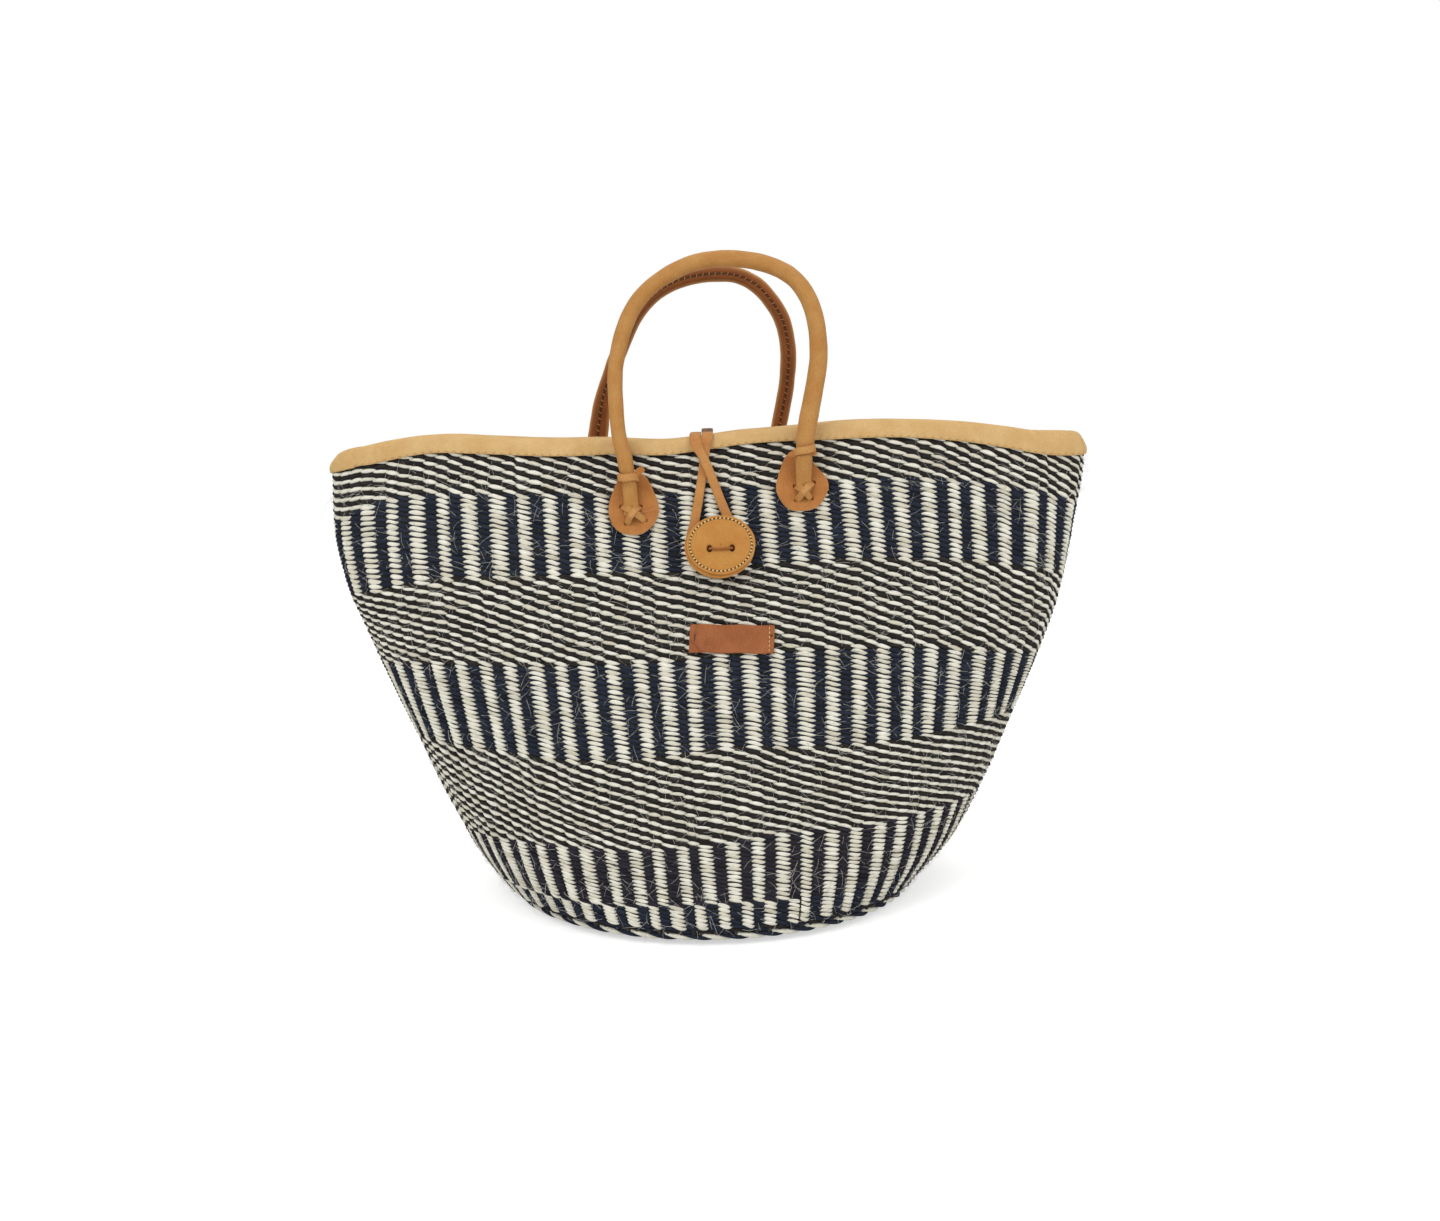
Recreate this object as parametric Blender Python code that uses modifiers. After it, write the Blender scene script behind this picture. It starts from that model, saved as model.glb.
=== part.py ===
"""A woven basket bag: flattened mouth, round base, two leather handles, rim binding and a button closure.

Metres, +Z up. The origin is at the centre of the base, on the surface that the basket stands on.
+X is to the right of the front wall and the front wall faces -Y.
"""

import math

import bmesh
import bpy
from mathutils import Matrix, Vector

# Woven body
BODY_WIDTH = 0.480
BODY_DEPTH = 0.254
BODY_HEIGHT = 0.285
WALL = 0.005
FLOOR = 0.005
RIM_WAVE = 0.012
ROUND_POWER = 2.0
FLAT_POWER = 2.4
WAVE_START_SHARE = 0.1
WAVE_POWER = 1.5
BODY_SIDES = 56
SOLVE_STEPS = 8
PROBE = 0.001

# Shares of the height, and of the half width or half depth there
WIDTH_SHARES = (
    (0.0, 0.495), (0.0105, 0.53), (0.028, 0.555), (0.056, 0.585), (0.105, 0.633), (0.175, 0.69),
    (0.263, 0.746), (0.351, 0.792), (0.456, 0.848), (0.561, 0.9), (0.667, 0.946), (0.754, 0.971),
    (0.842, 0.986), (0.919, 0.996), (1.0, 1.0),
)
DEPTH_SHARES = (
    (0.0, 0.9), (0.0105, 0.965), (0.028, 1.0), (0.056, 1.0), (0.105, 0.96), (0.175, 0.9), (0.351, 0.75),
    (0.561, 0.57), (0.754, 0.4), (1.0, 0.236),
)
# Shares of the half width, and of the rim's wave
WAVE_SHARES = (
    (-1.0, 0.0), (-0.95, 0.06), (-0.82, 0.53), (-0.71, 0.74), (-0.565, 0.56), (-0.42, 0.38), (-0.27, 0.33),
    (-0.115, 0.14), (0.0, 0.32), (0.09, 0.52), (0.16, 0.6), (0.26, 0.72), (0.37, 0.88), (0.5, 0.89),
    (0.658, 0.7), (0.78, 0.375), (0.86, 0.12), (1.0, 0.0),
)

# Clearances between pieces that touch
GAP = 0.0003
SEAT_GAP = 0.0004
# Points of a turned ring closer than this are one point
MERGE_REACH = 0.00001

# Rim binding and its thread
BINDING_HEIGHT = 0.0105
BINDING_LEATHER = 0.0016
BINDING_TOP = 0.0018
THREAD_RADIUS = 0.0004
RIM_THREAD_DROP = 0.0085

# Handles. A drop is measured down from the top of the wall
HANDLE_RADIUS = 0.0052
HANDLE_LEATHER = 0.0014
HANDLE_LEAN = math.radians(6.0)
ARCH_HALF_WIDTH = 0.061
ARCH_RISE = 0.116
END_RUN = 0.004
HINGE_GAP = 0.0009
CORE_INSET = 0.0004
ROUTE_STEPS = 2
FRONT_HINGE_X = 0.0060
FRONT_HINGE_DROP = 0.005
FRONT_HINGE_Z = BODY_HEIGHT - FRONT_HINGE_DROP
FRONT_HINGE_HALF_SPAN = 0.0522
FRONT_HINGE_TILT = math.radians(6.2)
BACK_HINGE_X = -0.013
BACK_HINGE_DROP = 0.004
BACK_HINGE_Z = BODY_HEIGHT - BACK_HINGE_DROP
BACK_HINGE_HALF_SPAN = 0.060
BACK_HINGE_TILT = math.radians(2.4)

# Shares of the arch's half width and of its rise, from the middle of the hinge line
FRONT_ARCH_SHARES = (
    (-0.934, 0.136), (-0.968, 0.395), (-0.929, 0.549), (-0.852, 0.677), (-0.737, 0.788), (-0.553, 0.883),
    (-0.293, 0.96), (-0.043, 0.996), (0.252, 0.999), (0.547, 0.969), (0.791, 0.904), (0.943, 0.804),
    (1.025, 0.675), (1.048, 0.52), (1.022, 0.392), (0.911, 0.135),
)
BACK_ARCH_SHARES = (
    (-0.949, 0.125), (-0.89, 0.294), (-0.777, 0.461), (-0.657, 0.598), (-0.518, 0.745), (-0.338, 0.852),
    (-0.098, 0.929), (0.202, 0.968), (0.521, 0.969), (0.752, 0.922), (0.92, 0.839), (1.066, 0.711),
    (1.125, 0.545), (1.108, 0.378), (1.072, 0.266), (1.002, 0.097),
)

# Leg ends: tongue, collar, patch, lacing and backing
LEG_DROP = 0.032
TONGUE_THICKNESS = 0.0030
TONGUE_HALF_WIDTH = 0.0040
TONGUE_STRAIGHT = 0.0105
TONGUE_TIP_DROP = 0.003
TONGUE_SHOULDER = 0.007
TONGUE_RISE = 0.0010
TONGUE_SIDES = 10
TONGUE_STEPS = 3
COLLAR_DROP = 0.0046
COLLAR_HEIGHT = 0.0046
COLLAR_LEATHER = 0.0014
COLLAR_STEPS = 12
PATCH_LEATHER = 0.0020
PATCH_HALF_WIDTH = 0.0165
PATCH_BELOW = 0.0115
PATCH_ABOVE = 0.0275
PATCH_SHARES = (
    (0.0, -1.0), (0.62, -0.78), (0.97, 0.0), (0.93, 0.22), (0.62, 0.62), (0.32, 0.93),
)
LACE_WIDTH = 0.0042
LACE_LEATHER = 0.0012
LACE_LEG_WIDTH = 0.0030
SLOT_HALF_SPAN = 0.0063
SLOT_HALF_RISE = 0.0053
BACKING_LEATHER = 0.0018
BACKING_HALF_WIDTH = 0.0115
BACKING_HALF_HEIGHT = 0.0100

# Button
BUTTON_X = 0.008
BUTTON_DROP = 0.0622
BUTTON_Z = BODY_HEIGHT - BUTTON_DROP
BUTTON_RADIUS = 0.0207
BUTTON_HEIGHT_SHARE = 0.9
BUTTON_BACK_EXTRA = 0.0005
BUTTON_LEATHER = 0.0020
BUTTON_STANDOFF = 0.0068
BUTTON_TILT = math.radians(6.0)
BUTTON_THREAD_INSET = 0.0022
THONG_HALF_SPAN = 0.0068
THONG_RADIUS = 0.0011
THONG_PLAY = 0.0011
THONG_CORNER = 0.0012
WASHER_LEATHER = 0.0016
WASHER_HALF_WIDTH = 0.0120
WASHER_HALF_HEIGHT = 0.0060
RING_STEPS = 40

# Closure loop
STRAP_WIDTH = 0.0056
STRAP_LEATHER = 0.0014
STRAP_STEPS = 3
TAB_HALF_WIDTH = 0.0150
TAB_HALF_HEIGHT = 0.0050
TAB_LEATHER = 0.0018
TAB_DROP = 0.0240
TAB_Z = BODY_HEIGHT - TAB_DROP
LOOP_ENDS_X = (-0.0002, -0.0088)
# Rise of the two runs over the mouth
MOUTH_ARCHES = (0.0020, 0.0004)
CORNER_SHARE = 0.75
# How far out the strap lies below the binding, as a share of its place over the binding
FALL_SHARE = 0.62
# Way of the strap round the button: places beside and above its middle, as shares of its radius
EYE_SHARES = (
    (-0.64, 1.5), (-0.76, 0.85), (-0.90, 0.2), (-0.72, -0.42), (-0.12, -0.72), (0.46, -0.6),
    (0.72, -0.1), (0.62, 0.42), (0.34, 0.92), (0.14, 1.45),
)
# Way of the strap from the rim down to the crossing and up again: places beside the middle, as shares of the
# strap's width, and heights above the binding's lower edge, as shares of the binding's height
DOWN_SHARES = ((-0.04, 0.85), (-0.12, 0.25), (-0.28, -0.40))
UP_SHARES = ((0.6, -0.66), (-0.2, 0.13), (-0.61, 0.55), (-0.95, 0.9))

# Label
LABEL_X = 0.0128
LABEL_DROP = 0.1150
LABEL_Z = BODY_HEIGHT - LABEL_DROP
LABEL_HALF_WIDTH = 0.0253
LABEL_HALF_HEIGHT = 0.0082
LABEL_LEATHER = 0.0018
LABEL_TURN = math.radians(-2.4)
LABEL_STITCH_INSET = 0.0030

# Colours and surfaces
CREAM_SISAL = (0.76, 0.71, 0.60)
PALE_LEATHER = (0.73, 0.49, 0.21)
TAN_LEATHER = (0.58, 0.28, 0.08)
BROWN_LEATHER = (0.46, 0.13, 0.05)
DARK_LACE = (0.09, 0.04, 0.02)
LIGHT_THREAD = (0.80, 0.70, 0.52)
CORD = (0.62, 0.55, 0.42)
LEATHER_ROUGHNESS = 0.55
FIBRE_ROUGHNESS = 0.85

FRONT = 1
BACK = -1


# Scene helpers

def clear_scene():
    for item in list(bpy.data.objects):
        bpy.data.objects.remove(item, do_unlink=True)


def new_collection(name):
    group = bpy.data.collections.new(name)
    bpy.context.scene.collection.children.link(group)
    return group


def new_material(name, colour, roughness):
    material = bpy.data.materials.new(name)
    material.use_nodes = True
    surface = material.node_tree.nodes["Principled BSDF"]
    surface.inputs["Base Color"].default_value = (*colour, 1.0)
    surface.inputs["Roughness"].default_value = roughness
    surface.inputs["Metallic"].default_value = 0.0
    return material


def place(name, data, group, colour, roughness, matrix=None):
    item = bpy.data.objects.new(name, data)
    item.matrix_world = matrix or Matrix.Identity(4)
    data.materials.clear()
    data.materials.append(new_material(name, colour, roughness))
    group.objects.link(item)
    return item


def smooth(item, angle=math.radians(40.0)):
    item.data.shade_smooth()
    item.data.set_sharp_from_angle(angle=angle)


def hang_on(item, pivot):
    item.parent = pivot
    item.matrix_parent_inverse = pivot.matrix_world.inverted()


# Curves through points

def table_value(table, position):
    """Smooth value of a table of (place, value) pairs."""
    position = min(max(position, table[0][0]), table[-1][0])
    index = 0
    while index < len(table) - 2 and position > table[index + 1][0]:
        index += 1
    before = table[max(index - 1, 0)]
    start = table[index]
    end = table[index + 1]
    after = table[min(index + 2, len(table) - 1)]
    span = end[0] - start[0]
    share = (position - start[0]) / span
    slope_start = (end[1] - before[1]) / (end[0] - before[0])
    slope_end = (after[1] - start[1]) / (after[0] - start[0])
    square = share * share
    cube = square * share
    value = (2 * cube - 3 * square + 1) * start[1]
    value += (cube - 2 * square + share) * span * slope_start
    value += (3 * square - 2 * cube) * end[1]
    value += (cube - square) * span * slope_end
    return value


def smooth_route(points, steps):
    """Points on a smooth curve through the given ones, with so many steps between two of them."""
    route = []
    last = len(points) - 1
    for index in range(last):
        before = points[max(index - 1, 0)]
        start = points[index]
        end = points[index + 1]
        after = points[min(index + 2, last)]
        for step in range(steps):
            share = step / steps
            square = share * share
            cube = square * share
            point = start * (2 * cube - 3 * square + 1) + end * (3 * square - 2 * cube)
            point += (end - before) * ((cube - 2 * square + share) / 2)
            point += (after - start) * ((cube - square) / 2)
            route.append(point)
    route.append(points[-1].copy())
    return route


# Shape of the woven wall

def half_width(share):
    return BODY_WIDTH / 2 * table_value(WIDTH_SHARES, share)


def half_depth(share):
    return BODY_DEPTH / 2 * table_value(DEPTH_SHARES, share)


def flatness(share):
    return ROUND_POWER + (FLAT_POWER - ROUND_POWER) * share


def rim_rise(across, share):
    """Height that the rim's wave adds at a place across the wall, fading out towards the base."""
    fade = max(0.0, (share - WAVE_START_SHARE) / (1.0 - WAVE_START_SHARE)) ** WAVE_POWER
    return RIM_WAVE * table_value(WAVE_SHARES, across) * fade


def section_point(share, angle, grow=0.0, lift=0.0):
    """Point of the wall's section at a share of the height, made larger all round by grow."""
    power = 2.0 / flatness(share)
    across = math.copysign(abs(math.cos(angle)) ** power, math.cos(angle))
    along = math.copysign(abs(math.sin(angle)) ** power, math.sin(angle))
    height = share * BODY_HEIGHT + rim_rise(across, share) + lift
    return Vector((across * (half_width(share) + grow), along * (half_depth(share) + grow), height))


def section_ring(share, grow=0.0, lift=0.0):
    ring = []
    for index in range(BODY_SIDES):
        angle = 2.0 * math.pi * index / BODY_SIDES
        ring.append(section_point(share, angle, grow, lift))
    return ring


def wall_point(x, z, side, grow=0.0):
    """Point on the front or back wall at a given x and z."""
    share = z / BODY_HEIGHT
    for _ in range(SOLVE_STEPS):
        across = x / (half_width(share) + grow)
        share = (z - rim_rise(across, share)) / BODY_HEIGHT
    power = flatness(share)
    across = abs(x) / (half_width(share) + grow)
    depth = (half_depth(share) + grow) * (1.0 - across ** power) ** (1.0 / power)
    return Vector((x, -side * depth, z))


def wall_frame(x, z, side, grow=0.0):
    """Frame on the wall: its X runs across the wall, its Y up the wall and its Z out of the wall."""
    spot = wall_point(x, z, side, grow)
    across = wall_point(x + PROBE, z, side, grow) - wall_point(x - PROBE, z, side, grow)
    across = (across * side).normalized()
    rising = wall_point(x, z + PROBE, side, grow) - wall_point(x, z - PROBE, side, grow)
    normal = across.cross(rising).normalized()
    rising = normal.cross(across)
    frame = Matrix((across, rising, normal)).transposed().to_4x4()
    frame.translation = spot
    return frame


def wall_depth_here(frame, x, z, side):
    """Thickness of the wall along the frame's Z."""
    inner = wall_point(x, z, side, -WALL)
    return (frame.translation - inner).dot(frame.to_3x3().col[2])


# Meshes

def loft(rings, cyclic=False):
    """Closed mesh through rings of equal length, with flat ends or joined round to itself."""
    mesh = bmesh.new()
    loops = [[mesh.verts.new(point) for point in ring] for ring in rings]
    pairs = list(zip(loops, loops[1:]))
    if cyclic:
        pairs.append((loops[-1], loops[0]))
    for lower, upper in pairs:
        count = len(lower)
        for index in range(count):
            following = (index + 1) % count
            mesh.faces.new((lower[index], lower[following], upper[following], upper[index]))
    if not cyclic:
        mesh.faces.new(reversed(loops[0]))
        mesh.faces.new(loops[-1])
    bmesh.ops.recalc_face_normals(mesh, faces=mesh.faces)
    data = bpy.data.meshes.new("loft")
    mesh.to_mesh(data)
    mesh.free()
    return data


def add_box(mesh, centre, size, turn=0.0):
    """Add a box to a mesh, turned about its own Z."""
    matrix = Matrix.Translation(centre) @ Matrix.Rotation(turn, 4, "Z") @ Matrix.Diagonal((*size, 1.0))
    bmesh.ops.create_cube(mesh, size=1.0, matrix=matrix)


def box_mesh(boxes):
    mesh = bmesh.new()
    for box in boxes:
        add_box(mesh, *box)
    data = bpy.data.meshes.new("boxes")
    mesh.to_mesh(data)
    mesh.free()
    return data


def fused_boxes(boxes, helpers):
    """One closed mesh made of boxes that run into each other."""
    base = bpy.data.objects.new("fused", box_mesh(boxes[:1]))
    helpers.objects.link(base)
    tools = []
    for box in boxes[1:]:
        tool = bpy.data.objects.new("tool", box_mesh([box]))
        helpers.objects.link(tool)
        tools.append(tool)
        union = base.modifiers.new("union", "BOOLEAN")
        union.operation = "UNION"
        union.object = tool
    graph = bpy.context.evaluated_depsgraph_get()
    data = bpy.data.meshes.new_from_object(base.evaluated_get(graph))
    for item in tools + [base]:
        bpy.data.objects.remove(item, do_unlink=True)
    return data


def tube_curve(points, radius, roundness, cyclic=False, caps=True):
    curve = bpy.data.curves.new("tube", "CURVE")
    curve.dimensions = "3D"
    spline = curve.splines.new("POLY")
    spline.points.add(len(points) - 1)
    for target, point in zip(spline.points, points):
        target.co = (*point, 1.0)
    spline.use_cyclic_u = cyclic
    curve.bevel_depth = radius
    curve.bevel_resolution = roundness
    curve.use_fill_caps = caps
    return curve


def plate_curve(thickness):
    curve = bpy.data.curves.new("plate", "CURVE")
    curve.dimensions = "2D"
    curve.fill_mode = "BOTH"
    curve.extrude = thickness / 2
    return curve


def add_straight_outline(curve, points):
    spline = curve.splines.new("POLY")
    spline.points.add(len(points) - 1)
    for target, point in zip(spline.points, points):
        target.co = (*point, 0.0, 1.0)
    spline.use_cyclic_u = True


def add_round_outline(curve, points, steps=3):
    spline = curve.splines.new("BEZIER")
    spline.bezier_points.add(len(points) - 1)
    for target, point in zip(spline.bezier_points, points):
        target.co = (*point, 0.0)
        target.handle_left_type = "AUTO"
        target.handle_right_type = "AUTO"
    spline.use_cyclic_u = True
    spline.resolution_u = steps


def rectangle(centre, half_across, half_up):
    return [
        (centre[0] - half_across, centre[1] - half_up),
        (centre[0] + half_across, centre[1] - half_up),
        (centre[0] + half_across, centre[1] + half_up),
        (centre[0] - half_across, centre[1] + half_up),
    ]


def circle(centre, radius, count, height_share=1.0):
    """Points of a circle, or of an oval where its height is a share of its width."""
    points = []
    for index in range(count):
        angle = 2.0 * math.pi * index / count
        rise = radius * height_share * math.sin(angle)
        points.append((centre[0] + radius * math.cos(angle), centre[1] + rise))
    return points


# Woven body and rim

def make_woven_body(group, cutters, holes):
    """Wall and base in one shell, open at the mouth, with the holes that laces pass through."""
    levels = [share for share, _ in WIDTH_SHARES]
    outside = [section_ring(share) for share in levels]
    floor_share = FLOOR / BODY_HEIGHT
    inner_levels = [share for share in levels if share > 1.5 * floor_share]
    inside = [section_ring(share, -WALL) for share in reversed(inner_levels)]
    inside.append(section_ring(floor_share, -WALL))
    body = place("woven_body", loft(outside + inside), group, CREAM_SISAL, FIBRE_ROUGHNESS)
    smooth(body)
    for index, (frame, boxes) in enumerate(holes):
        tool = bpy.data.objects.new("wall_hole_cutter_" + str(index), box_mesh(boxes))
        tool.matrix_world = frame
        tool.hide_render = True
        tool.display_type = "WIRE"
        cutters.objects.link(tool)
        cut = body.modifiers.new("wall_holes", "BOOLEAN")
        cut.operation = "DIFFERENCE"
        cut.object = tool
    return body


def make_rim_binding(group):
    """Leather strip folded over the rim, as a channel that keeps clear of the wall."""
    low = 1.0 - BINDING_HEIGHT / BODY_HEIGHT
    outer = SEAT_GAP + BINDING_LEATHER
    inner = -WALL - SEAT_GAP - BINDING_LEATHER
    middle = -WALL / 2
    rings = [
        section_ring(low, outer),
        section_ring(1.0, outer, SEAT_GAP),
        section_ring(1.0, middle, BINDING_TOP + SEAT_GAP),
        section_ring(1.0, inner, SEAT_GAP),
        section_ring(low, inner),
        section_ring(low, -WALL - SEAT_GAP),
        section_ring(1.0, -WALL - SEAT_GAP, SEAT_GAP),
        section_ring(1.0, SEAT_GAP, SEAT_GAP),
        section_ring(low, SEAT_GAP),
    ]
    binding = place("rim_binding", loft(rings, cyclic=True), group, PALE_LEATHER, LEATHER_ROUGHNESS)
    smooth(binding)
    return binding


def make_rim_stitching(group):
    share = 1.0 - RIM_THREAD_DROP / BODY_HEIGHT
    outward = SEAT_GAP + BINDING_LEATHER + GAP + THREAD_RADIUS
    curve = tube_curve(section_ring(share, outward), THREAD_RADIUS, 1, cyclic=True)
    place("rim_stitching", curve, group, PALE_LEATHER, FIBRE_ROUGHNESS)


# Leg ends

def leg_stack():
    """Distance from the wall to the middle of the handle where the collar passes behind it."""
    return SEAT_GAP + PATCH_LEATHER + GAP + COLLAR_LEATHER + GAP + HANDLE_RADIUS


class Handle:
    """One handle's hinge line, the plane it stands in and its two leg ends."""

    def __init__(self, name, side, middle_x, middle_z, half_span, tilt, arch):
        self.name = name
        self.side = side
        self.tilt = tilt
        self.arch = arch
        self.middle_x = middle_x
        self.middle_z = middle_z
        self.half_span = half_span
        self.depth = max(self.leg_depth(-1), self.leg_depth(1))
        along = Vector((math.cos(tilt), 0.0, math.sin(tilt)))
        lean = side * math.tan(HANDLE_LEAN)
        self.along = along
        self.up = Vector((-math.sin(tilt), lean, math.cos(tilt))).normalized()
        self.out = along.cross(self.up).normalized() * side
        self.middle = Vector((middle_x, -side * self.depth, middle_z))
        self.pivot = self.middle + self.out * HANDLE_RADIUS

    def leg_x(self, hand):
        return self.middle_x + hand * self.half_span * math.cos(self.tilt)

    def leg_z(self, hand):
        return self.middle_z + hand * self.half_span * math.sin(self.tilt)

    def leg_depth(self, hand):
        """Depth of the handle's middle that lets the collar clear the patch."""
        reach = COLLAR_DROP + COLLAR_HEIGHT
        low = self.leg_z(hand) - reach
        frame = wall_frame(self.leg_x(hand), low, self.side)
        slant = abs(frame.to_3x3().col[2].y)
        return abs(frame.translation.y) + leg_stack() / slant - reach * math.tan(HANDLE_LEAN)

    def arch_point(self, across, rise):
        """Point of the arch from its place beside and above the middle of the hinge line."""
        above = rise * math.cos(self.tilt) - across * math.sin(self.tilt)
        depth = self.depth - above * math.tan(HANDLE_LEAN)
        return Vector((self.middle_x + across, -self.side * depth, self.middle_z + rise))

    def leg_end(self, hand):
        return self.middle + self.along * (hand * self.half_span)

    def route(self):
        """Middle line of the handle, straight where it meets the hinge line."""
        left = self.leg_end(-1)
        right = self.leg_end(1)
        lift = self.up * (HINGE_GAP / 2)
        run = self.up * END_RUN
        points = [left + lift + run]
        for across, rise in self.arch:
            points.append(self.arch_point(across * ARCH_HALF_WIDTH, rise * ARCH_RISE))
        points.append(right + lift + run)
        near = lift + run / 2
        ends = [left + lift, left + near], [right + near, right + lift]
        return ends[0] + smooth_route(points, ROUTE_STEPS) + ends[1]


def make_handle(group, handle):
    """Rolled leather tube, the cord inside it and its seam thread, on the hinge line."""
    pivot = bpy.data.objects.new(handle.name + "_handle_hinge", None)
    pivot.location = handle.pivot
    group.objects.link(pivot)
    bpy.context.view_layer.update()
    route = handle.route()

    tube = tube_curve(route, HANDLE_RADIUS, 2, caps=False)
    cover = place(handle.name + "_handle_cover", tube, group, TAN_LEATHER, LEATHER_ROUGHNESS)
    shell = cover.modifiers.new("leather", "SOLIDIFY")
    shell.thickness = HANDLE_LEATHER
    shell.offset = -1.0
    hang_on(cover, pivot)

    cord_route = list(route)
    cord_route[0] = route[0] + handle.up * CORE_INSET
    cord_route[-1] = route[-1] + handle.up * CORE_INSET
    cord = tube_curve(cord_route, HANDLE_RADIUS - HANDLE_LEATHER - SEAT_GAP, 2)
    core = place(handle.name + "_handle_core", cord, group, CORD, FIBRE_ROUGHNESS)
    hang_on(core, pivot)

    inward = handle.out * -(HANDLE_RADIUS + GAP + THREAD_RADIUS)
    seam = [point + inward for point in route[2:-2]]
    thread = tube_curve(seam, THREAD_RADIUS, 0)
    seam_name = handle.name + "_handle_seam_thread"
    seam_thread = place(seam_name, thread, group, LIGHT_THREAD, FIBRE_ROUGHNESS)
    hang_on(seam_thread, pivot)


def ellipse_ring(centre, across, through, half_across, half_through, count):
    ring = []
    for index in range(count):
        angle = 2.0 * math.pi * index / count
        point = centre + across * (half_across * math.cos(angle))
        ring.append(point + through * (half_through * math.sin(angle)))
    return ring


def tongue_offset():
    return SEAT_GAP + PATCH_LEATHER + GAP + TONGUE_THICKNESS / 2


def make_tongue(group, name, handle, hand, frame):
    """End of the handle's leather below the hinge line, round at the collar and flat under the lace."""
    top = handle.leg_end(hand) - handle.up * (HINGE_GAP / 2)
    bend = top - handle.up * TONGUE_STRAIGHT
    shoulder = frame @ Vector((0.0, TONGUE_SHOULDER, tongue_offset() + TONGUE_RISE))
    tip = frame @ Vector((0.0, -TONGUE_TIP_DROP, tongue_offset()))
    route = [top] + smooth_route([bend, shoulder, tip], TONGUE_STEPS)
    flat_start = 2
    rings = []
    for index, point in enumerate(route):
        ahead = route[min(index + 1, len(route) - 1)]
        behind = route[max(index - 1, 0)]
        direction = (ahead - behind).normalized()
        if index < flat_start:
            direction = -handle.up
        through = handle.along.cross(direction).normalized()
        across = direction.cross(through).normalized()
        share = max(0.0, (index - flat_start + 1) / (len(route) - flat_start))
        flat = min(1.0, 2.0 * share)
        half_across = HANDLE_RADIUS + (TONGUE_HALF_WIDTH - HANDLE_RADIUS) * share
        half_through = HANDLE_RADIUS + (TONGUE_THICKNESS / 2 - HANDLE_RADIUS) * flat
        rings.append(ellipse_ring(point, across, through, half_across, half_through, TONGUE_SIDES))
    tongue = place(name + "_handle_tongue", loft(rings), group, TAN_LEATHER, LEATHER_ROUGHNESS)
    smooth(tongue)


def make_collar(group, name, handle, hand):
    """Thin strap round the end of the handle, turned from a rectangle beside its axis."""
    inner = HANDLE_RADIUS + GAP
    outer = inner + COLLAR_LEATHER
    low = -COLLAR_DROP - COLLAR_HEIGHT
    corners = ((outer, -COLLAR_DROP), (outer, low), (inner, low), (inner, -COLLAR_DROP))
    profile = bpy.data.meshes.new("collar")
    points = [(radius, 0.0, height) for radius, height in corners]
    profile.from_pydata(points, [(0, 1), (1, 2), (2, 3), (3, 0)], [])
    across = handle.along * handle.side
    through = handle.up.cross(across)
    matrix = Matrix((across, through, handle.up)).transposed().to_4x4()
    matrix.translation = handle.leg_end(hand)
    collar = place(name + "_collar", profile, group, TAN_LEATHER, LEATHER_ROUGHNESS, matrix)
    turn = collar.modifiers.new("turn", "SCREW")
    turn.angle = 2.0 * math.pi
    turn.steps = COLLAR_STEPS
    turn.render_steps = COLLAR_STEPS
    turn.use_merge_vertices = True
    turn.merge_threshold = MERGE_REACH


def patch_outline():
    """Pear outline, wide below and narrow under the collar."""
    right = []
    for across, height in PATCH_SHARES:
        length = PATCH_ABOVE if height > 0.0 else PATCH_BELOW
        right.append((across * PATCH_HALF_WIDTH, height * length))
    left = [(-across, height) for across, height in reversed(right[1:])]
    return right + [(0.0, PATCH_ABOVE)] + left


def slot_centres():
    centres = []
    for across in (-1, 1):
        for rise in (-1, 1):
            centres.append((across * SLOT_HALF_SPAN, rise * SLOT_HALF_RISE))
    return centres


def slotted_plate(outline, rounded, thickness):
    """Flat leather piece with the four slots of the lacing."""
    curve = plate_curve(thickness)
    if rounded:
        add_round_outline(curve, outline)
    else:
        add_straight_outline(curve, outline)
    for centre in slot_centres():
        half_across = LACE_LEG_WIDTH / 2 + GAP
        add_straight_outline(curve, rectangle(centre, half_across, LACE_LEATHER / 2 + GAP))
    return curve


def make_patch(group, name, frame):
    matrix = frame @ Matrix.Translation((0.0, 0.0, SEAT_GAP + PATCH_LEATHER / 2))
    curve = slotted_plate(patch_outline(), True, PATCH_LEATHER)
    place(name + "_patch", curve, group, TAN_LEATHER, LEATHER_ROUGHNESS, matrix)


def make_backing(group, name, frame, wall):
    middle = -(wall + SEAT_GAP + BACKING_LEATHER / 2)
    matrix = frame @ Matrix.Translation((0.0, 0.0, middle))
    outline = rectangle((0.0, 0.0), BACKING_HALF_WIDTH, BACKING_HALF_HEIGHT)
    curve = slotted_plate(outline, False, BACKING_LEATHER)
    place(name + "_backing", curve, group, BROWN_LEATHER, LEATHER_ROUGHNESS, matrix)


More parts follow.
